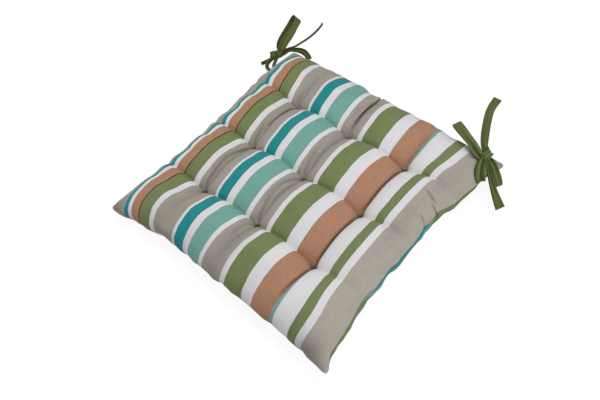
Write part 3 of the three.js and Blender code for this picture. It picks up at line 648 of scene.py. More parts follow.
def finer(X, floor=True):
    def half(A, axis):
        A = np.moveaxis(A, axis, 0)
        M = (A[1:] + A[:-1]) / 2
        M[1:-1] = (9 * (A[1:-2] + A[2:-1]) - (A[:-3] + A[3:])) / 16
        return np.moveaxis(M, 0, axis)
    n = X.shape[1]
    Y = np.zeros((2, 2 * n - 1, 2 * n - 1, 3))
    Y[:, ::2, ::2] = X
    Y[:, 1::2, ::2] = half(X, 1)
    Y[:, :, 1::2] = half(Y[:, :, ::2], 2)
    if floor:
        Y[..., 2] = np.maximum(Y[..., 2], 0)
    return Y


def smooth_edges(X, passes, width=0.14, pull=0.5, push=-0.53):
    """low-pass along and across the seams that fades out away from them"""
    X = X.copy()
    n = X.shape[1]
    c = n - 1
    near = np.maximum(0, 1 - np.minimum(np.arange(n), c - np.arange(n)) / c / width) ** 0.7
    si, sj = near[:, None] + 0 * near[None], near[None] + 0 * near[:, None]
    along_j, along_i = np.maximum(si, sj / 2), np.maximum(sj, si / 2)
    along_j[[0, -1]] = si[[0, -1]]
    along_i[:, [0, -1]] = sj[:, [0, -1]]
    edge = seam_of(n)
    for _ in range(passes):
        for gain in (pull, push):
            X[:, :, 1:-1] += gain * along_j[None, :, 1:-1, None] * ((X[:, :, :-2] + X[:, :, 2:]) / 2 - X[:, :, 1:-1])
            X[:, 1:-1] += gain * along_i[None, 1:-1, :, None] * ((X[:, :-2] + X[:, 2:]) / 2 - X[:, 1:-1])
        m = (X[0] + X[1]) / 2
        X[0][edge] = m[edge]
        X[1][edge] = m[edge]
    X[..., 2] = np.maximum(X[..., 2], 0)
    return X


def dips(cells):
    """for the top panel's points on the lines between tufts: which, and how deep"""
    at = np.linspace(0, 1, cells + 1)
    q = cells // 4
    i, j, deep = [], [], []
    for k in (1, 2, 3):
        d = np.interp(at, [r["at"] for r in ROW_DIPS], [r[f"row_{k}"] for r in ROW_DIPS])
        i.append(np.arange(1, cells)), j.append(np.full(cells - 1, q * k)), deep.append(d[1:-1])
        d = np.interp(at, [r["at"] for r in COLUMN_DIPS], [r[f"column_{k}"] for r in COLUMN_DIPS])
        i.append(np.full(cells - 1, q * k)), j.append(np.arange(1, cells)), deep.append(d[1:-1])
    return np.concatenate(i), np.concatenate(j), np.concatenate(deep)


def coarser(X):
    """every fourth or second point, each the mean of its neighbourhood"""
    def half(A, axis):
        A = np.moveaxis(A, axis, 0)
        M = A[::2].copy()
        M[1:-1] = (A[1:-3:2] + 2 * A[2:-2:2] + A[3:-1:2]) / 4
        return np.moveaxis(M, 0, axis)
    return half(half(X, 1), 2)


def push_edges(X):
    """moves the filled edges in and out, and rounds and shifts the corners"""
    X = X.copy()
    n = X.shape[1]
    at = np.linspace(0, 1, n)
    u, v = at[:, None] * CUT, at[None] * CUT
    away = {"left": u, "right": CUT - u, "front": v, "back": CUT - v}
    for side, axis, sign in (("left", 0, -1), ("right", 0, 1), ("front", 1, -1), ("back", 1, 1)):
        rows = EDGE_MOVES[side]
        out = np.interp(at, [r["at"] for r in rows], [r["out"] for r in rows])
        out = np.convolve(np.pad(out, 3, "edge"), np.ones(7) / 7, "valid")
        out = out[None] if axis == 0 else out[:, None]
        X[..., axis] += sign * out * smoothstep(1 - away[side] / EDGE_REACH)
    for row in CORNERS:
        r = np.hypot(u - row["u"], v - row["v"])
        X += smoothstep(1 - r / row["reach"])[None, ..., None] * np.array(row["move"], float)
    # each corner is cut across a little as it is turned
    mean = (X[0] + X[1]) / 2
    flat = smoothstep(np.minimum(np.minimum(u, CUT - u), np.minimum(v, CUT - v)) / (CUT / (n - 1)) / 3)
    both = np.stack([mean, X[0] - mean])
    h = CUT / (n - 1)
    for cu in (0, 1):
        for cv in (0, 1):
            k = int(round(CORNERS[cu + 2 * cv]["round"] / h))
            ii = np.arange(k + 1) if cu == 0 else np.arange(n - 1 - k, n)
            jj = np.arange(k + 1) if cv == 0 else np.arange(n - 1 - k, n)
            pu = 1 - (ii * h if cu == 0 else CUT - ii * h)[:, None] / (k * h)
            pv = 1 - (jj * h if cv == 0 else CUT - jj * h)[None] / (k * h)
            qu, qv = pu * (1 - 0.26 * pv ** 2), pv * (1 - 0.26 * pu ** 2)
            su, sv = (1 - qu) * k, (1 - qv) * k
            if cu:
                su = n - 1 - su
            if cv:
                sv = n - 1 - sv
            a, b = np.clip(su.astype(int), 0, n - 2), np.clip(sv.astype(int), 0, n - 2)
            fu, fv = (su - a)[..., None], (sv - b)[..., None]
            got = [(1 - fu) * (1 - fv) * A[a, b] + fu * (1 - fv) * A[a + 1, b] + (1 - fu) * fv * A[a, b + 1] + fu * fv * A[a + 1, b + 1] for A in both]
            sel = np.ix_(ii, jj)
            X[0][sel] = got[0] + got[1] * flat[sel][..., None]
            X[1][sel] = got[0] - got[1] * flat[sel][..., None]
    X[..., 2] = np.maximum(X[..., 2], 0)
    return X


def settle():
    X = relax(lay_out(PASSES[0]["cells"]), **PASSES[0])
    broad = X.copy()
    for row in PASSES[1:]:
        X = finer(X)
        broad = finer(broad)
        X = relax(X, broad=broad, **row)
    return smooth_edges(X, 30)


# ---------------------------------------------------- fine detail ----
def lines(bands, fine, coarse):
    """positions across the cloth, closer together inside the bands"""
    out = [0.0]
    for k in range(4):
        a, b = CUT * k / 4, CUT * (k + 1) / 4
        t = np.linspace(a, b, 400)
        near = np.zeros_like(t)
        for lo, hi in bands:
            near = np.maximum(near, smoothstep((t - lo + 6) / 6) * smoothstep((hi + 6 - t) / 6))
        rate = near / fine + (1 - near) / coarse
        total = np.concatenate([[0], np.cumsum((rate[1:] + rate[:-1]) / 2 * np.diff(t))])
        count = max(4, round(total[-1]))
        out += list(np.interp(np.linspace(0, total[-1], count + 1)[1:], total, t))
    return np.array(out)


def resample(X, us, vs):
    """the surface at the given places across and along the cloth"""
    def along(A, at):
        A = np.moveaxis(A, 1, 0)
        c = len(A) - 1
        x = at / CUT * c
        i = np.clip(x.astype(int), 0, c - 1)
        f = (x - i).reshape(-1, *[1] * (A.ndim - 1))
        a, b = A[i], A[i + 1]
        p = np.where((i > 0).reshape(f.shape), A[np.maximum(i - 1, 0)], 2 * a - b)
        q = np.where((i < c - 1).reshape(f.shape), A[np.minimum(i + 2, c)], 2 * b - a)
        y = a + f * ((b - p) / 2 + f * (p - 2.5 * a + 2 * b - q / 2 + f * (1.5 * (a - b) + (q - p) / 2)))
        return np.moveaxis(y, 0, 1)
    Y = along(X, us)
    Y = np.swapaxes(along(np.swapaxes(Y, 1, 2), vs), 1, 2)
    Y[..., 2] = np.maximum(Y[..., 2], 0)
    return Y


def normals(A, us, vs):
    dx, dy = np.gradient(A, us, axis=0), np.gradient(A, vs, axis=1)
    n = np.cross(dx, dy)
    return n / np.maximum(np.linalg.norm(n, axis=-1, keepdims=True), 1e-9)


def smooth_path(points, step=1.5):
    P = np.array(points, float)
    P = np.concatenate([[2 * P[0] - P[1]], P, [2 * P[-1] - P[-2]]])
    out = []
    for k in range(1, len(P) - 2):
        count = max(2, int(np.linalg.norm(P[k + 1] - P[k]) / step))
        for f in np.arange(count) / count:
            a, b, c, d = P[k - 1:k + 3]
            out.append(b + f * ((c - a) / 2 + f * (a - 2.5 * b + 2 * c - d / 2 + f * (1.5 * (b - c) + (d - a) / 2))))
    out.append(P[-2])
    return np.array(out)


def fold_height(U, V, row):
    """a pinched valley with a low ridge on both sides, and the painted shade along the valley"""
    P = smooth_path(row["path"])
    near = (U > P[:, 0].min() - 14) & (U < P[:, 0].max() + 14) & (V > P[:, 1].min() - 14) & (V < P[:, 1].max() + 14)
    h = np.zeros_like(U)
    q = np.stack([U[near], V[near]], -1)
    d = np.sqrt(((q[:, None] - P[None]) ** 2).sum(-1))
    k = d.argmin(1)
    d = d.min(1)
    t = k / (len(P) - 1)
    ends = {"none": np.ones_like(t), "first": smoothstep(t / 0.35), "last": smoothstep((1 - t) / 0.45),
            "both": smoothstep(t / 0.4) * smoothstep((1 - t) / 0.4)}[row["out"]]
    w = row["wide"]
    h[near] = row["deep"] * ends * (-np.exp(-(d / w) ** 2) + 0.42 * np.exp(-((d - 2.3 * w) / (1.3 * w)) ** 2))
    # painted shade along the bottom of the valley
    painted_shading = np.zeros_like(U)
    painted_shading[near] = row.get("painted_shading", 0.07 * row["deep"]) * ends * np.exp(-(d / (0.55 * w + 0.35)) ** 2)
    return h, painted_shading


def pucker_height(U, V, rng):
    """short rays and a pit round each tuft, with painted shade in the pit"""
    h, painted_shading = np.zeros_like(U), np.zeros_like(U)
    for a in (1, 2, 3):
        for b in (1, 2, 3):
            du, dv = U - CUT * a / 4, V - CUT * b / 4
            r = np.sqrt(du * du + dv * dv)
            th = np.arctan2(dv, du)
            # the stitch pulls in a short slot that lies askew
            along, aside = du * 0.76 + dv * 0.65, dv * 0.76 - du * 0.65
            h -= 2.2 * np.exp(-(along / 6.0) ** 2 - (aside / 2.2) ** 2)
            h += 0.7 * np.exp(-(along / 7.0) ** 2 - ((np.abs(aside) - 4.6) / 2.4) ** 2)
            # painted shade in the slot
            painted_shading += 0.22 * np.exp(-(along / 4.2) ** 2 - (aside / 1.5) ** 2)
            count = 8
            for k in range(count):
                at = 2 * math.pi * (k + rng.uniform(-0.28, 0.28)) / count
                deep, long = rng.uniform(0.2, 0.8), rng.uniform(8, 16)
                off = np.abs((th - at + math.pi) % (2 * math.pi) - math.pi) * r
                ray = np.exp(-(off / (1.5 + 0.06 * r)) ** 2) - 0.45 * np.exp(-((off - 3.6) / (1.8 + 0.05 * r)) ** 2)
                h -= deep * ray * np.exp(-(r / long) ** 2) * smoothstep(r / 5)
    return h, painted_shading


def column_lobes(V):
    lobe = np.zeros_like(V)
    for lo, hi, most in ((30, 104.5, 0.75), (104.5, 209, 1.0), (209, 313.5, 0.9)):
        t = np.clip((V - lo) / (hi - lo), 0, 1)
        lobe = np.maximum(lobe, most * np.sin(math.pi * t) ** 0.55)
    return lobe


def column_roll(U, V, T):
    """the cloth left of the third column bulges over it"""
    seam = 312.4 + GATHER_MOST * (313 - GATHER_CENTRE) * np.interp(V / CUT, [g["v"] for g in GATHER], [g["share"] for g in GATHER])
    seam = np.minimum(seam, 314.0)
    s = seam - U
    lobe = column_lobes(V)
    bulge = np.exp(-((s - 5.5) / 5.0) ** 2) * (s > -2)
    T[..., 0] += 3.6 * bulge * lobe
    T[..., 2] += 2.6 * bulge * lobe - 4.2 * np.exp(-((s - 0.2) / 2.0) ** 2) * lobe
    T[..., 2] += 1.2 * np.exp(-((s + 7) / 4.5) ** 2) * lobe


def add_detail(X, us, vs):
    rng = np.random.default_rng(4)
    U, V = np.meshgrid(us, vs, indexing="ij")
    top = X[0]
    N = normals(top, us, vs)
    h, painted_shading = pucker_height(U, V, rng)
    for row in FOLDS:
        rise, shade = fold_height(U, V, row)
        h += rise
        painted_shading = np.maximum(painted_shading, shade)
    for row in DENTS:
        c, k = math.cos(math.radians(row["turn"])), math.sin(math.radians(row["turn"]))
        du, dv = U - row["u"], V - row["v"]
        dent = np.exp(-((du * c + dv * k) / row["long"]) ** 2 - ((dv * c - du * k) / row["wide"]) ** 2)
        h += row["rise"] * dent
        # painted shade, and painted light where the value is below zero
        painted_shading = painted_shading + row["painted_shading"] * dent
    # the dips along the rows end in a sharp line
    for k in (1, 2, 3):
        share = np.interp(U / CUT, [r["at"] for r in ROW_DIPS], [r[f"row_{k}"] for r in ROW_DIPS]) / 6
        d = np.abs(V - CUT * k / 4)
        h += share * (-0.45 * np.exp(-d / 1.8) + 0.1 * np.exp(-((d - 6) / 4) ** 2))
        # with painted shade along that line
        painted_shading = np.maximum(painted_shading, 0.10 * share * np.exp(-(d / 1.2) ** 2))
    # the right-hand seam sits in a groove
    over = U - np.interp(V, [r["v"] for r in RIGHT_SEAM], [r["u"] for r in RIGHT_SEAM])
    h += smoothstep((CUT - U) / 3) * (-1.1 * np.exp(-(over / 1.3) ** 2) + 0.5 * np.exp(-((over + 3.2) / 2.0) ** 2))
    fade = smoothstep(np.minimum(np.minimum(U, CUT - U), np.minimum(V, CUT - V)) / 2.0)
    top += N * (h * fade)[..., None]
    column_roll(U, V, top)
    top[..., 2] = np.maximum(top[..., 2], 0)
    near_seam = np.minimum(np.minimum(U, CUT - U), np.minimum(V, CUT - V))
    # painted shade in the right-hand seam's groove and along every outer seam
    painted_shading = np.maximum(painted_shading, 0.30 * np.exp(-(over / 0.9) ** 2))
    painted_shading = np.maximum(painted_shading, 0.25 * np.exp(-(near_seam / 1.0) ** 2))
    # a painted highlight along the low ridge just inside the right-hand seam
    painted_shading -= 0.05 * np.exp(-((over + 3.5) / 2.0) ** 2)
    return X, over, painted_shading


# ----------------------------------------------------------- pad mesh ----
def pad_mesh(name, X, us, vs, over, painted_shading):
    """X is (2, across, along, 3) in millimetres about the pad's centre"""
    nu, nv = len(us), len(vs)
    edge = np.zeros((nu, nv), bool)
    edge[[0, -1]] = True
    edge[:, [0, -1]] = True
    ids = np.zeros((2, nu, nv), int)
    ids[0] = np.arange(nu * nv).reshape(nu, nv)
    ids[1][edge] = ids[0][edge]
    ids[1][~edge] = nu * nv + np.arange((~edge).sum())
    verts = np.concatenate([X[0].reshape(-1, 3), X[1][~edge]])
    verts = (verts + SHIFT) / 1000
    U, V = np.meshgrid(us, vs, indexing="ij")
    share = np.interp(V / CUT, [g["v"] for g in GATHER], [g["share"] for g in GATHER])
    S = U - (U - GATHER_CENTRE) * GATHER_MOST * share
    front = np.interp(V, [0, 40, 80, 115], [1, 0.9, 0.4, 0])
    rear = np.interp(V, [320, 350, 380, 418], [0, 0.4, 0.8, 1])
    S -= np.interp(V, [0, 32], [1, 0]) * np.interp(U, [0, 36, 60, 90, 130], [3, 6, 4, 2, 0])
    S += front * np.interp(U, [r["u"] for r in STRIPE_SHIFT], [r["front"] for r in STRIPE_SHIFT])
    S += rear * np.interp(U, [r["u"] for r in STRIPE_SHIFT], [r["back"] for r in STRIPE_SHIFT])
    # some cloth is tucked into the third column
    S -= 4.0 * np.exp(-((U - 315.5) / 5.0) ** 2) * column_lobes(V)
    skew = np.interp(V, [0, 95, 135, 190, 250, 272, 418], [9, 9, 2, 0, 0, 8, 9])
    faces, cloth, edges_uv, painted_shading_uvs, mats = [], [], [], [], []

    def corners(A, flip):
        q = np.stack([A[:-1, :-1], A[1:, :-1], A[1:, 1:], A[:-1, 1:]], -1).reshape(-1, 4)
        return q[:, ::-1] if flip else q

    for p in (0, 1):
        faces.append(corners(ids[p], p))
        cloth.append(np.stack([corners(U if p else S, p), corners(V, p)], -1))
        edges_uv.append(np.stack([corners(U * 0 - 50 if p else over, p), corners(over + skew, p)], -1))
        # the top panel carries the painted shade and painted light of its folds, pits, seams and patches
        painted_shading_uvs.append(np.stack([corners(U * 0 if p else painted_shading, p), corners(U * 0, p)], -1))
        mats.append(np.full(len(faces[-1]), p))
    faces, cloth, edges_uv, painted_shading_uvs, mats = (np.concatenate(a) for a in (faces, cloth, edges_uv, painted_shading_uvs, mats))
    me = bpy.data.meshes.new(name)
    me.vertices.add(len(verts))
    me.vertices.foreach_set("co", verts.ravel())
    me.loops.add(faces.size)
    me.loops.foreach_set("vertex_index", faces.ravel())
    me.polygons.add(len(faces))
    me.polygons.foreach_set("loop_start", np.arange(len(faces)) * 4)
    me.polygons.foreach_set("material_index", mats)
    me.update(calc_edges=True)
    for layer_name, data in (("cloth", cloth / 1000), ("seam", edges_uv / 1000), ("painted_shading_uv", painted_shading_uvs)):
        layer = me.uv_layers.new(name=layer_name)
        layer.uv.foreach_set("vector", data.astype(np.float32).ravel())
    me.polygons.foreach_set("use_smooth", np.ones(len(faces), bool))
    me.validate()
    ob = bpy.data.objects.new(name, me)
    bpy.context.scene.collection.objects.link(ob)
    return ob


# ------------------------------------------------------------------ ties ----
def lean_frame():
    turn, rise, roll = (math.radians(LEAN[k]) for k in ("turn", "rise", "roll"))
    out = np.array([math.sin(turn) * math.cos(rise), -math.cos(turn) * math.cos(rise), math.sin(rise)])
    right = np.cross([0, 0, 1], out)
    right /= np.linalg.norm(right)
    up = np.cross(out, right)
    return np.stack([math.cos(roll) * right + math.sin(roll) * up,
                     -math.sin(roll) * right + math.cos(roll) * up, out])


def route(rows, parts=9):
    """a centripetal curve through the rows, and the other columns along it"""
    P = np.array([[r["right"], r["up"], r["out"]] for r in rows], float)
    others = {k: np.array([r.get(k, 0.8) for r in rows], float) for k in ("wide", "thick", "turn", "pleat")}
    pts, at = [], []
    n = len(P)
    for k in range(n - 1):
        b, c = P[k], P[k + 1]
        a = P[k - 1] if k else 2 * b - c
        d = P[k + 2] if k < n - 2 else 2 * c - b
        t0, t1 = 0.0, max(1e-4, np.linalg.norm(b - a) ** 0.5)
        t2 = t1 + max(1e-4, np.linalg.norm(c - b) ** 0.5)
        t3 = t2 + max(1e-4, np.linalg.norm(d - c) ** 0.5)
        for f in np.arange(parts) / parts if k < n - 2 else np.arange(parts + 1) / parts:
            t = t1 + f * (t2 - t1)
            A1 = (t1 - t) / (t1 - t0) * a + (t - t0) / (t1 - t0) * b
            A2 = (t2 - t) / (t2 - t1) * b + (t - t1) / (t2 - t1) * c
            A3 = (t3 - t) / (t3 - t2) * c + (t - t2) / (t3 - t2) * d
            B1 = (t2 - t) / (t2 - t0) * A1 + (t - t0) / (t2 - t0) * A2
            B2 = (t3 - t) / (t3 - t1) * A2 + (t - t1) / (t3 - t1) * A3
            pts.append((t2 - t) / (t2 - t1) * B1 + (t - t1) / (t2 - t1) * B2)
            at.append(k + f)
    at = np.array(at)
    return np.array(pts), {k: np.interp(at, np.arange(n), v) for k, v in others.items()}


def turned(v, axis, angle):
    return v * math.cos(angle) + np.cross(axis, v) * math.sin(angle) + axis * axis.dot(v) * (1 - math.cos(angle))


def tape(points, wide, thick, turn, pleat, closed=False, face=None, folds=3, seed=0, hem=True, inside=0.0):
    """a folded and edge-stitched tape along the points; where it is gathered narrower
    than it is cut, it lies in lengthwise folds"""
    rng = np.random.default_rng(seed)
    n, across = len(points), 15
    along = np.gradient(points, axis=0)
    if closed:
        along = np.roll(points, -1, 0) - np.roll(points, 1, 0)
    along /= np.linalg.norm(along, axis=1, keepdims=True)
    gone = np.concatenate([[0], np.cumsum(np.linalg.norm(np.diff(points, axis=0), axis=1))])
    a = np.sin(np.linspace(-math.pi / 2, math.pi / 2, across))
    a = np.sign(a) * np.abs(a) ** 1.15
    phase = rng.uniform(-0.6, 0.6)
    verts, uv, shade = [], [], []
    up = None
    for k in range(n):
        if face is not None:
            normal = face[k] - along[k] * along[k].dot(face[k])
            normal /= np.linalg.norm(normal)
        else:
            if up is None:
                up = np.array([0, 1.0, 0]) if abs(along[k][2]) > 0.8 else np.array([0, 0, 1.0])
            up = up - along[k] * along[k].dot(up)
            up /= np.linalg.norm(up)
            normal = turned(up, along[k], math.radians(turn[k]))
        side = np.cross(along[k], normal)
        w = wide[k] * TIE_WIDTH
        wave = pleat[k] * np.cos(folds * math.pi * (a + 1) / 2 * 1.0 + phase + 0.25 * math.sin(gone[k] / 9 + seed))
        wave += 0.25 * (1 - a * a) * math.sin(gone[k] / 13.0 + seed * 1.7)
        t = TIE_THICK * thick[k] / 2
        body = t * (1 - np.abs(a) ** 8) ** 0.5 * (0.86 + 0.14 * smoothstep((np.abs(a) - 0.62) / 0.2))
        body -= 0.22 * np.exp(-((np.abs(a) - 0.76) / 0.05) ** 2) * min(1, wide[k] ** 2 * 1.3)
        if hem and not closed:
            to_end = gone[-1] - gone[k]
            body = body * (1 + 0.35 * smoothstep((4.2 - to_end) / 1.2)) - 0.25 * math.exp(-((to_end - 4.4) / 0.6) ** 2)
        body = np.maximum(body, 0.06)
        body[[0, -1]] = 0.0
        for sign, idx in ((1, range(across)), (-1, range(across - 2, 0, -1))):
            for m in idx:
                verts.append(points[k] + side * (a[m] * w / 2) + normal * (wave[m] + sign * body[m]))
                uv.append((gone[k], a[m] * TIE_WIDTH / 2 + (40 if sign < 0 else 0)))
                # painted light on the ridges of the folds, painted shade in their grooves, and for loops painted shade
                # on the inner face
                shade.append((sign * wave[m] - (inside if sign < 0 else 0.0), 0.0))
    ring = 2 * across - 2
    faces = []
    for k in range(n if closed else n - 1):
        o, q = k * ring, (k + 1) % n * ring
        for m in range(ring):
            m2 = (m + 1) % ring
            faces.append((o + m, o + m2, q + m2, q + m))
    if not closed:
        for o, flip in ((0, True), ((n - 1) * ring, False)):
            # the two faces are joined across the cut end
            top = [o + m for m in range(across)]
            bottom = [o] + [o + ring - m for m in range(1, across - 1)] + [o + across - 1]
            for m in range(across - 1):
                f = [top[m], top[m + 1], bottom[m + 1], bottom[m]]
                f = [x for x, y in zip(f, f[1:] + f[:1]) if x != y]
                faces.append(tuple(reversed(f)) if flip else tuple(f))
    return np.array(verts), faces, np.array(uv), np.array(shade)


def knot_body(row):
    """a crumpled ball inside the knot"""
    nu, nv = 28, 14
    verts, faces, uv = [(0, 0, 1)], [], [(0, 0)]
    for j in range(1, nv):
        th = math.pi * j / nv
        for i in range(nu):
            ph = 2 * math.pi * i / nu
            r = 1 + 0.05 * math.sin(5 * ph + 2 * th) + 0.04 * math.cos(3 * ph - 4 * th)
            verts.append((r * math.sin(th) * math.cos(ph), r * math.sin(th) * math.sin(ph), r * math.cos(th)))
            uv.append((ph * 7, th * 7))
    verts.append((0, 0, -1))
    uv.append((0, 22))
    for i in range(nu):
        i2 = (i + 1) % nu
        faces.append((0, 1 + i, 1 + i2))
        for j in range(nv - 2):
            o = 1 + j * nu
            faces.append((o + i, o + nu + i, o + nu + i2, o + i2))
        o = 1 + (nv - 2) * nu
        faces.append((o + i, len(verts) - 1, o + i2))
    tilt = math.radians(row["tilt"])
    v = np.array(verts) * [row["right"], row["up"], row["out"]]
    x = v[:, 0] * math.cos(tilt) - v[:, 1] * math.sin(tilt)
    y = v[:, 0] * math.sin(tilt) + v[:, 1] * math.cos(tilt)
    # the ball is given painted shade
    return np.stack([x, y, v[:, 2]], -1), faces, np.array(uv), np.full((len(v), 2), (-1.5, 0.0))


def wound(row, seed):
    """one turn of a tie round the knot"""
    ang = math.radians(row["axis"])
    axis = np.array([math.cos(ang), math.sin(ang), 0])
    cross = np.array([-math.sin(ang), math.cos(ang), 0])
    out = np.array([0, 0, 1.0])
    t = np.linspace(0, 2 * math.pi, 48, endpoint=False)
    ctr = np.array(row["at"])
    pts = np.array([ctr + row["round"] * math.cos(x) * cross + row["deep"] * math.sin(x) * out
                    + 0.5 * math.sin(2 * x + seed) * axis for x in t])
    face = np.array([math.cos(x) / row["round"] * cross + math.sin(x) / row["deep"] * out for x in t])
    face /= np.linalg.norm(face, axis=1, keepdims=True)
    wide = row["wide"] * (1 + 0.12 * np.sin(t * 2 + seed))
    verts, faces, uv, shade = tape(pts, wide, np.full(48, 1.0), np.zeros(48), np.full(48, row["pleat"]),
                                   closed=True, face=face, folds=4, seed=seed)
    # painted light on the knot's outer turns
    shade[:, 0] += row.get("light", 0.0)
    return verts, faces, uv, shade


def mesh_of(name, pieces, to_world):
    verts, faces, uv, shade, base_id = [], [], [], [], 0
    for v, f, t, s in pieces:
        verts.append(v)
        uv.append(t)
        shade.append(s)
        faces += [tuple(x + base_id for x in q) for q in f]
        base_id += len(v)
    verts = to_world(np.concatenate(verts)) / 1000
    layers = {"cloth": np.concatenate(uv) / 1000, "tie_painted_shading": np.concatenate(shade) / 1000}
    me = bpy.data.meshes.new(name)
    me.from_pydata(verts.tolist(), [], faces)
    loop = np.zeros(len(me.loops), int)
    me.loops.foreach_get("vertex_index", loop)
    for layer_name, data in layers.items():
        layer = me.uv_layers.new(name=layer_name)
        layer.uv.foreach_set("vector", data[loop].astype(np.float32).ravel())
    me.polygons.foreach_set("use_smooth", np.ones(len(me.polygons), bool))
    me.validate()
    ob = bpy.data.objects.new(name, me)
    bpy.context.scene.collection.objects.link(ob)
    return ob


def make_ties(material):
    frame_of = lean_frame()
    seed = 1
    for bow_name, bow in BOWS.items():
        at = np.array(bow["at"]) + SHIFT
        for node_name, strips in bow["ties"].items():
            pieces, cut = [], 0.0
            for strip_name, rows in strips.items():
                pts, cols = route(rows)
                length = np.linalg.norm(np.diff(pts, axis=0), axis=1).sum()
                cut += length
                # a loop is given painted shade on its inner face
                pieces.append(tape(pts, cols["wide"], cols["thick"], cols["turn"], cols["pleat"], seed=seed,
                                   hem=strip_name in ("tail", "end"), inside=1.8 if strip_name == "loop" else 0.0))
                pieces[-1][3][:, 0] += TONES.get((bow_name, strip_name), 0.0)
                seed += 1
            if node_name in KNOTS:
                knot = KNOTS[node_name]
                pieces.append(knot_body(knot["body"]))
                for row in knot["turns"]:
                    pieces.append(wound(row, seed))
                    cut += math.pi * (row["round"] + row["deep"])
                    seed += 1
            ob = mesh_of(node_name + "_cloth", pieces, lambda v: v @ frame_of + at)
            ob.data.materials.append(material)
            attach(ob, "root")
            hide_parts(node_name)
            print("cut length", node_name, round(cut))


# --------------------------------------------------------------- materials ----
def node(tree, kind, **sets):
    n = tree.nodes.new(kind)
    for k, v in sets.items():
        setattr(n, k, v)
    return n


def link(tree, a, b):
    tree.links.new(a, b)


def maths(tree, op, a, b=None, clamp=False):
    n = node(tree, "ShaderNodeMath", operation=op, use_clamp=clamp)
    for i, x in enumerate((a, b)):
        if x is None:
            continue
        if isinstance(x, (int, float)):
            n.inputs[i].default_value = x
        else:
            link(tree, x, n.inputs[i])
    return n.outputs[0]


def stripe_ramp(t, fac, stripes):
    ramp = node(t, "ShaderNodeValToRGB")
    ramp.color_ramp.interpolation = "CONSTANT"
    els = ramp.color_ramp.elements
    while len(els) > 1:
        els.remove(els[-1])
    els[0].position = 0
    els[0].color = base(stripes[0]["colour"])
    for row in stripes[1:]:
        e = els.new(row["at"] / CUT)
        e.color = base(row["colour"])
    link(t, fac, ramp.inputs["Fac"])
    return ramp.outputs["Color"]


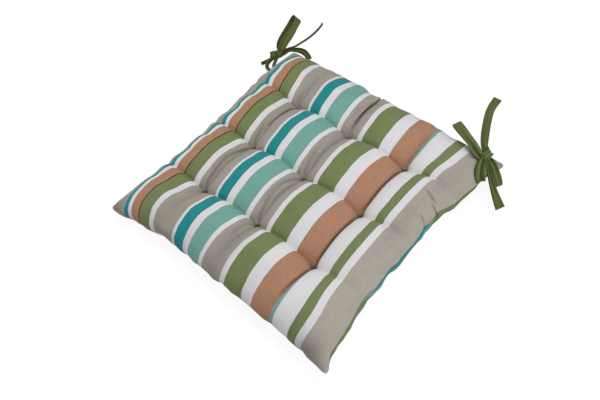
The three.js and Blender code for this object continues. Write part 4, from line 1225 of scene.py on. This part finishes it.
def cloth_material(name, stripes, beyond=None):
    mat = bpy.data.materials.new(name)
    mat.use_nodes = True
    t = mat.node_tree
    bsdf = t.nodes["Principled BSDF"]
    bsdf.inputs["Roughness"].default_value = 0.92
    bsdf.inputs["Specular IOR Level"].default_value = 0.18
    bsdf.inputs["Sheen Weight"].default_value = 0.05
    bsdf.inputs["Sheen Roughness"].default_value = 0.5
    uv = node(t, "ShaderNodeUVMap", uv_map="cloth")
    sep = node(t, "ShaderNodeSeparateXYZ")
    link(t, uv.outputs[0], sep.inputs[0])
    s = maths(t, "MULTIPLY", sep.outputs["X"], 1000 / CUT)
    # the dye runs a little along the threads
    wander = node(t, "ShaderNodeTexNoise")
    wander.inputs["Scale"].default_value = 900
    wander.inputs["Detail"].default_value = 2
    stretch = node(t, "ShaderNodeMapping")
    stretch.inputs["Scale"].default_value = (1.0, 0.25, 1.0)
    link(t, uv.outputs[0], stretch.inputs["Vector"])
    link(t, stretch.outputs[0], wander.inputs["Vector"])
    off = maths(t, "MULTIPLY", maths(t, "SUBTRACT", wander.outputs["Fac"], 0.5), 0.0018)
    s = maths(t, "ADD", s, off)
    colour = stripe_ramp(t, s, stripes)
    if beyond:
        seam = node(t, "ShaderNodeUVMap", uv_map="seam")
        sep2 = node(t, "ShaderNodeSeparateXYZ")
        link(t, seam.outputs[0], sep2.inputs[0])
        other = stripe_ramp(t, maths(t, "SUBTRACT", 1.0, maths(t, "MULTIPLY", sep2.outputs["Y"], 1000 / CUT)), beyond)
        pick = node(t, "ShaderNodeMix", data_type="RGBA")
        link(t, maths(t, "GREATER_THAN", sep2.outputs["X"], 0.0), pick.inputs["Factor"])
        link(t, colour, pick.inputs["A"])
        link(t, other, pick.inputs["B"])
        colour = pick.outputs["Result"]
    # slubs: threads a little lighter and darker, both ways
    def threads(scale):
        m = node(t, "ShaderNodeMapping")
        m.inputs["Scale"].default_value = scale
        link(t, uv.outputs[0], m.inputs["Vector"])
        n = node(t, "ShaderNodeTexNoise")
        n.inputs["Scale"].default_value = 1.0
        n.inputs["Detail"].default_value = 3
        n.inputs["Roughness"].default_value = 0.65
        link(t, m.outputs[0], n.inputs["Vector"])
        return n.outputs["Fac"]
    warp = threads((900, 60, 1))
    weft = threads((60, 900, 1))
    blot = threads((45, 45, 1))
    mottle = threads((150, 110, 1))
    neps = threads((620, 480, 1))
    mix = maths(t, "ADD", maths(t, "MULTIPLY", maths(t, "SUBTRACT", warp, 0.5), 0.36),
                maths(t, "MULTIPLY", maths(t, "SUBTRACT", weft, 0.5), 0.36))
    mix = maths(t, "ADD", mix, maths(t, "MULTIPLY", maths(t, "SUBTRACT", blot, 0.5), 0.12))
    mix = maths(t, "ADD", mix, maths(t, "MULTIPLY", maths(t, "SUBTRACT", mottle, 0.5), 0.14))
    # short thick places in the yarn show as darker and lighter flecks
    mix = maths(t, "SUBTRACT", mix, maths(t, "MULTIPLY", maths(t, "MAXIMUM", maths(t, "SUBTRACT", neps, 0.63), 0.0), 1.5))
    mix = maths(t, "ADD", mix, maths(t, "MULTIPLY", maths(t, "MAXIMUM", maths(t, "SUBTRACT", 0.36, neps), 0.0), 1.0))
    # the threads show least on the white stripes
    parts = node(t, "ShaderNodeSeparateColor")
    link(t, colour, parts.inputs[0])
    mix = maths(t, "MULTIPLY", mix, maths(t, "SUBTRACT", 1.32, parts.outputs[1]))
    # the painted shade in folds, pits, seams and soft patches darkens the colour, and the painted light lightens it
    painted_shading_uv = node(t, "ShaderNodeUVMap", uv_map="painted_shading_uv")
    sep3 = node(t, "ShaderNodeSeparateXYZ")
    link(t, painted_shading_uv.outputs[0], sep3.inputs[0])
    gain = maths(t, "MULTIPLY", maths(t, "ADD", mix, 1.0), maths(t, "SUBTRACT", 1.0, sep3.outputs["X"]))
    # the yarns differ a little in warmth
    warm = maths(t, "MULTIPLY", maths(t, "SUBTRACT", threads((70, 95, 1)), 0.5), 0.10)
    three = node(t, "ShaderNodeCombineXYZ")
    link(t, maths(t, "MULTIPLY", gain, maths(t, "ADD", 1.0, warm)), three.inputs["X"])
    link(t, gain, three.inputs["Y"])
    link(t, maths(t, "MULTIPLY", gain, maths(t, "SUBTRACT", 1.0, warm)), three.inputs["Z"])
    tint = node(t, "ShaderNodeVectorMath", operation="MULTIPLY")
    link(t, colour, tint.inputs[0])
    link(t, three.outputs[0], tint.inputs[1])
    if beyond:
        spot = node(t, "ShaderNodeVectorMath", operation="DISTANCE")
        link(t, uv.outputs[0], spot.inputs[0])
        spot.inputs[1].default_value = (SPECK["u"] / 1000, SPECK["v"] / 1000, 0)
        share = maths(t, "MULTIPLY", maths(t, "SUBTRACT", SPECK["half"] * 1.4, maths(t, "MULTIPLY", spot.outputs["Value"], 1000)), 1 / SPECK["half"], clamp=True)
        red = node(t, "ShaderNodeMix", data_type="RGBA")
        red.inputs["B"].default_value = base("speck")
        link(t, share, red.inputs["Factor"])
        link(t, tint.outputs[0], red.inputs["A"])
        link(t, red.outputs["Result"], bsdf.inputs["Base Color"])
    else:
        link(t, tint.outputs[0], bsdf.inputs["Base Color"])
    # plain weave, two threads to a repeat of 1.1 mm
    pitch = 2 * math.pi * 1000 / 1.1
    a = maths(t, "SINE", maths(t, "MULTIPLY", sep.outputs["X"], pitch))
    b = maths(t, "SINE", maths(t, "MULTIPLY", sep.outputs["Y"], pitch))
    weave = maths(t, "MULTIPLY", a, b)
    fine = maths(t, "ADD", maths(t, "MULTIPLY", weave, 0.25), maths(t, "ADD", warp, weft))
    bump = node(t, "ShaderNodeBump")
    bump.inputs["Strength"].default_value = 0.35
    bump.inputs["Distance"].default_value = 0.0004
    link(t, fine, bump.inputs["Height"])
    link(t, bump.outputs[0], bsdf.inputs["Normal"])
    return mat


def tie_material():
    mat = bpy.data.materials.new("tie_cloth")
    mat.use_nodes = True
    t = mat.node_tree
    bsdf = t.nodes["Principled BSDF"]
    bsdf.inputs["Roughness"].default_value = 0.9
    bsdf.inputs["Specular IOR Level"].default_value = 0.2
    bsdf.inputs["Sheen Weight"].default_value = 0.08
    uv = node(t, "ShaderNodeUVMap", uv_map="cloth")
    sep = node(t, "ShaderNodeSeparateXYZ")
    link(t, uv.outputs[0], sep.inputs[0])
    def threads(scale):
        m = node(t, "ShaderNodeMapping")
        m.inputs["Scale"].default_value = scale
        link(t, uv.outputs[0], m.inputs["Vector"])
        n = node(t, "ShaderNodeTexNoise")
        n.inputs["Scale"].default_value = 1.0
        n.inputs["Detail"].default_value = 3
        n.inputs["Roughness"].default_value = 0.65
        link(t, m.outputs[0], n.inputs["Vector"])
        return n.outputs["Fac"]
    warp = threads((1100, 90, 1))
    weft = threads((90, 1100, 1))
    blot = threads((140, 60, 1))
    mix = maths(t, "ADD", maths(t, "MULTIPLY", maths(t, "SUBTRACT", warp, 0.5), 0.35),
                maths(t, "MULTIPLY", maths(t, "SUBTRACT", weft, 0.5), 0.35))
    mix = maths(t, "ADD", mix, maths(t, "MULTIPLY", maths(t, "SUBTRACT", blot, 0.5), 0.35))
    gain = maths(t, "ADD", mix, 1.0)
    # darker along the stitching, and painted shade along the folded edges
    y = maths(t, "MULTIPLY", sep.outputs["Y"], 1000)
    y = maths(t, "ABSOLUTE", maths(t, "SUBTRACT", maths(t, "PINGPONG", maths(t, "ADD", y, 20), 40), 20))
    stitch = maths(t, "SUBTRACT", 1.0, maths(t, "MULTIPLY", maths(t, "ABSOLUTE", maths(t, "SUBTRACT", y, 5.4)), 2.2), clamp=True)
    dash = maths(t, "GREATER_THAN", maths(t, "SINE", maths(t, "MULTIPLY", sep.outputs["X"], 2 * math.pi / 0.0026)), -0.4)
    edge_painted_shade = maths(t, "MULTIPLY", maths(t, "SUBTRACT", y, 6.2), 1.2, clamp=True)
    gain = maths(t, "SUBTRACT", gain, maths(t, "MULTIPLY", maths(t, "MULTIPLY", stitch, dash), 0.22))
    gain = maths(t, "SUBTRACT", gain, maths(t, "MULTIPLY", edge_painted_shade, 0.25))
    # painted light on the ridges of the folds and on the knots, and painted shade in their grooves, inside the loops
    # and where a bow shades its strips
    tie_painted_shading = node(t, "ShaderNodeUVMap", uv_map="tie_painted_shading")
    sep2 = node(t, "ShaderNodeSeparateXYZ")
    link(t, tie_painted_shading.outputs[0], sep2.inputs[0])
    ridge = maths(t, "MINIMUM", maths(t, "MAXIMUM", maths(t, "MULTIPLY", sep2.outputs["X"], 1000), -2.2), 1.8)
    gain = maths(t, "ADD", gain, maths(t, "MULTIPLY", ridge, 0.26))
    tint = node(t, "ShaderNodeVectorMath", operation="SCALE")
    tint.inputs[0].default_value = base("tie")[:3]
    link(t, gain, tint.inputs["Scale"])
    link(t, tint.outputs[0], bsdf.inputs["Base Color"])
    bump = node(t, "ShaderNodeBump")
    bump.inputs["Strength"].default_value = 0.4
    bump.inputs["Distance"].default_value = 0.0004
    link(t, maths(t, "ADD", warp, weft), bump.inputs["Height"])
    link(t, bump.outputs[0], bsdf.inputs["Normal"])
    return mat


ACROSS = lines([(0, 2), (88, 110), (192, 214), (303, 317), (364, 418)], 1.25, 2.7)
ALONG = lines([(0, 2), (98, 111), (203, 215), (244, 318), (416, 418)], 1.25, 2.6)
X = settle()
X = push_edges(X)
X, over, painted_shading = add_detail(resample(X, ACROSS, ALONG), ACROSS, ALONG)
pad = pad_mesh("pad_cloth", X, ACROSS, ALONG, over, painted_shading)
pad.data.materials.append(cloth_material("striped_cloth", STRIPES, BOTTOM_STRIPES))
pad.data.materials.append(cloth_material("striped_cloth_below", BOTTOM_STRIPES))
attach(pad, "root")
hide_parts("pad")

make_ties(tie_material())
